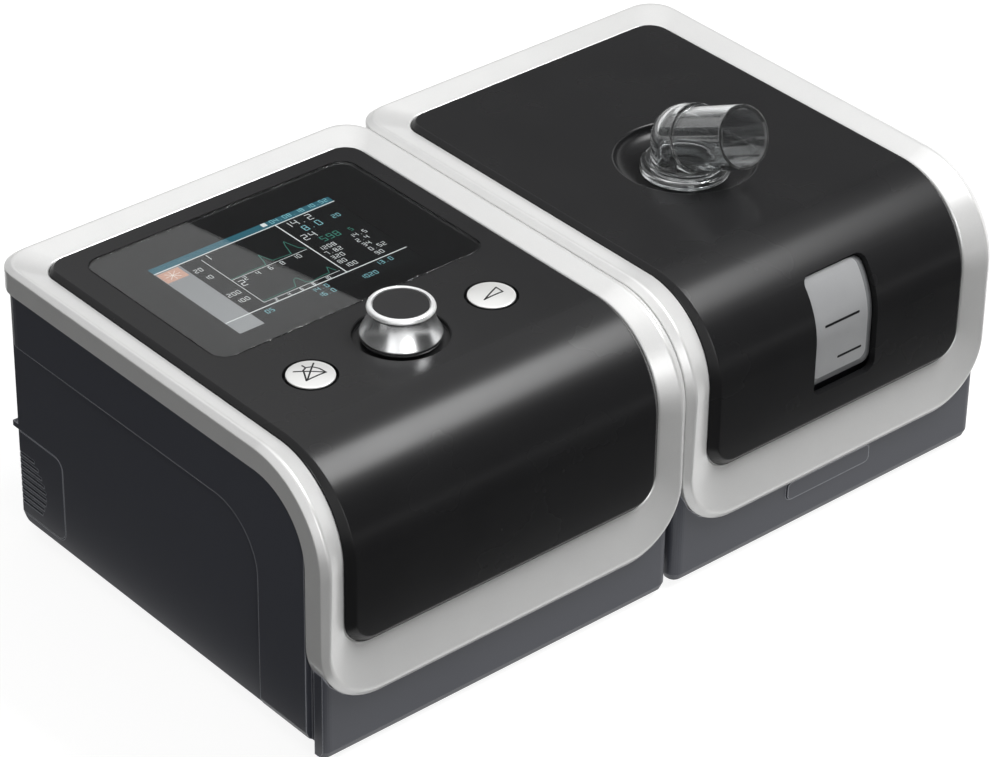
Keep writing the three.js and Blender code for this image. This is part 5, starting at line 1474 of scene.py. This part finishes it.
# Rubber parts: feet, the port seal between the modules and the lid's outlet seal,
# moulded in black silicone with a dusty matt skin.

silicone, tree, shader = new_material("silicone_black_matt", Roughness=0.72, IOR=1.41)
mottled(tree, shader, "#1c1c1d", "#252526",
        patch=5 * MM, grain=0.3 * MM, depth=0.03 * MM, strength=0.3)

FOOT_EDGE = 0.8 * MM
FOOT_ROUND = 0.3 * MM
FOOT_SIDES = 64
SEAL_EDGE = 0.3 * MM
for name in sorted(nodes):
    if "_foot_" not in name:
        continue
    low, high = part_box(name)
    radius = (high.x - low.x) / 2
    profile = softened([
        (0, low.z),
        (radius - FOOT_EDGE, low.z),
        (radius, low.z + FOOT_EDGE),
        (radius, high.z),
        (0, high.z),
    ], FOOT_ROUND)
    foot = turned(name + "_rubber", profile, upright_axis(name), sides=FOOT_SIDES)
    finish_surface(foot)
    dress_pair(foot, name, silicone)
    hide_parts(name)
    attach(foot, "main_unit")
dress_solids(("port_seal", "lid_seal"), silicone, SEAL_EDGE)


# Inner plastics: the blower's housing, impeller and duct in natural glass-filled
# nylon, the socket and the encoder's rotor in black nylon, and the liner under the
# lid in smoked polypropylene.

BLOWER_EDGE = 0.3 * MM
SOCKET_EDGE = 0.25 * MM
LINER_EDGE = 0.3 * MM

# The glass fibres make the pale nylon cloudy and a little waxy, the black one dull.
# The polypropylene has a smooth, soft shine.
natural_nylon, tree, shader = new_material(
    "nylon_glass_filled_natural", Roughness=0.5, IOR=1.53,
    Subsurface_Weight=0.1, Subsurface_Scale=1 * MM)
mottled(tree, shader, "#d3d1c6", "#dedcd2",
        patch=10 * MM, grain=0.35 * MM, depth=0.03 * MM, strength=0.25)
black_nylon, tree, shader = new_material("nylon_black_matt", Roughness=0.5, IOR=1.53)
mottled(tree, shader, "#141415", "#1c1c1d",
        patch=6 * MM, grain=0.3 * MM, depth=0.02 * MM, strength=0.25)
smoked_polypropylene, tree, shader = new_material("polypropylene_smoked", Roughness=0.35, IOR=1.49)
mottled(tree, shader, "#55575a", "#606265",
        patch=20 * MM, grain=0.5 * MM, depth=0.03 * MM, strength=0.2)
dress_solids(("blower_housing", "impeller", "outlet_duct"), natural_nylon, BLOWER_EDGE)
dress_solids(("power_socket", "encoder_rotor"), black_nylon, SOCKET_EDGE)
dress_solids(("lid_liner",), smoked_polypropylene, LINER_EDGE)


# Metal parts: the heater, the chamber's bottom, the hinge pins and the encoder's shaft
# in brushed stainless steel, and the motor can and encoder body in zinc-plated steel.

# Brush marks are drawn much longer than wide, so that they run one way and spread the
# light across themselves. The zinc has faint patches of lighter and darker grey.
BRUSH_MARK = 0.3 * MM
BRUSH_STRETCH = 0.03
BRUSH_DEPTH = 0.01 * MM
SPANGLE = 2.5 * MM
METAL_EDGE = 0.15 * MM

stainless, tree, shader = new_material(
    "stainless_steel_brushed", Metallic=1.0, Roughness=0.3, Base_Color=linear("#b9bbbc"))
place = add_node(tree, "ShaderNodeTexCoord").outputs["Object"]
pull = add_node(tree, "ShaderNodeVectorMath", {1: (BRUSH_STRETCH, 1.0, 1.0)}, {0: place},
                operation="MULTIPLY")
grain = add_node(tree, "ShaderNodeTexNoise", {"Scale": 1 / BRUSH_MARK, "Detail": 2.0},
                 {"Vector": pull.outputs[0]})
rough = add_node(tree, "ShaderNodeMapRange", {"To Min": 0.24, "To Max": 0.42},
                 {"Value": grain.outputs["Fac"]})
relief = add_node(tree, "ShaderNodeBump", {"Strength": 0.2, "Distance": BRUSH_DEPTH},
                  {"Height": grain.outputs["Fac"]})
tree.links.new(rough.outputs["Result"], shader.inputs["Roughness"])
tree.links.new(relief.outputs["Normal"], shader.inputs["Normal"])

zinc, tree, shader = new_material("steel_zinc_plated", Metallic=1.0, Roughness=0.38)
place = add_node(tree, "ShaderNodeTexCoord").outputs["Object"]
spangle = add_node(tree, "ShaderNodeTexVoronoi", {"Scale": 1 / SPANGLE}, {"Vector": place})
tone = add_node(tree, "ShaderNodeMixRGB", {"Color1": linear("#9fa3a6"), "Color2": linear("#b4b7b9")},
                {"Fac": spangle.outputs["Color"]})
tree.links.new(tone.outputs["Color"], shader.inputs["Base Color"])

steel_parts = ("heater_plate", "chamber_plate", "hinge_pin_1", "hinge_pin_2", "encoder_shaft")
dress_solids(steel_parts, stainless, METAL_EDGE)
dress_solids(("blower_motor", "encoder_body"), zinc, METAL_EDGE)


# Water chamber: injection-moulded in clear copolyester, slightly grey, with its
# cover welded on.

# The wall is smooth and almost clear, and catches light along its edges.
CHAMBER_EDGE = 0.4 * MM

copolyester, tree, shader = new_material(
    "copolyester_clear", IOR=1.57, Roughness=0.06, Transmission_Weight=0.92)
mottled(tree, shader, "#d5dadd", "#e2e6e8",
        patch=20 * MM, grain=3 * MM, depth=0.03 * MM, strength=0.1)
dress_solids(("water_chamber", "chamber_cover"), copolyester, CHAMBER_EDGE)


# Boards, screen module and filter: glass-fibre boards under green solder resist with
# copper lines, a black-framed screen module, and open-cell grey foam.

# The resist is a smooth green gloss, paler over raised copper. The copper is drawn as
# wandering bands about 12 mm apart, coarser than real lines.
TRACE_SCALE = 31.25
TRACE_EDGE = 0.72
TRACE_RELIEF = 0.035 * MM
BOARD_EDGE = 0.15 * MM
SCREEN_EDGE = 0.2 * MM

solder_resist, tree, shader = new_material("solder_resist_green", Roughness=0.35, IOR=1.5, Coat_Weight=0.3)
place = add_node(tree, "ShaderNodeTexCoord").outputs["Object"]
traces = add_node(tree, "ShaderNodeTexWave", {
    "Scale": TRACE_SCALE, "Distortion": 6.0, "Detail": 1.0}, {"Vector": place},
    bands_direction="DIAGONAL")
edge = add_node(tree, "ShaderNodeMath", {1: TRACE_EDGE}, {0: traces.outputs["Fac"]},
                operation="GREATER_THAN")
tone = add_node(tree, "ShaderNodeMixRGB", {"Color1": linear("#1c4a33"), "Color2": linear("#2c6a48")},
                {"Fac": edge.outputs[0]})
relief = add_node(tree, "ShaderNodeBump", {"Strength": 0.3, "Distance": TRACE_RELIEF},
                  {"Height": edge.outputs[0]})
tree.links.new(tone.outputs["Color"], shader.inputs["Base Color"])
tree.links.new(relief.outputs["Normal"], shader.inputs["Normal"])
dress_solids(("main_board", "control_board"), solder_resist, BOARD_EDGE)
dress_solids(("screen_module",), print_black, SCREEN_EDGE)

# The foam's cells are painted dark, as shade in the hollows between pale struts that stand proud.
FOAM_CELL = 1.1 * MM
FOAM_DEPTH = 0.5 * MM
STRUT_WIDTH = 0.25

foam, tree, shader = new_material("polyurethane_foam_open_cell", Roughness=0.95, IOR=1.5)
place = add_node(tree, "ShaderNodeTexCoord").outputs["Object"]
cells = add_node(tree, "ShaderNodeTexVoronoi", {"Scale": 1 / FOAM_CELL}, {"Vector": place},
                 feature="DISTANCE_TO_EDGE")
strut = add_node(tree, "ShaderNodeMapRange", {"From Max": STRUT_WIDTH},
                 {"Value": cells.outputs["Distance"]})
tone = add_node(tree, "ShaderNodeMixRGB", {"Color1": linear("#6c7075"), "Color2": linear("#2b2d30")},
                {"Fac": strut.outputs["Result"]})
relief = add_node(tree, "ShaderNodeBump", {"Strength": 0.8, "Distance": FOAM_DEPTH},
                  {"Height": strut.outputs["Result"]})
relief.invert = True
tree.links.new(tone.outputs["Color"], shader.inputs["Base Color"])
tree.links.new(relief.outputs["Normal"], shader.inputs["Normal"])
dress(nodes["air_filter"], foam)
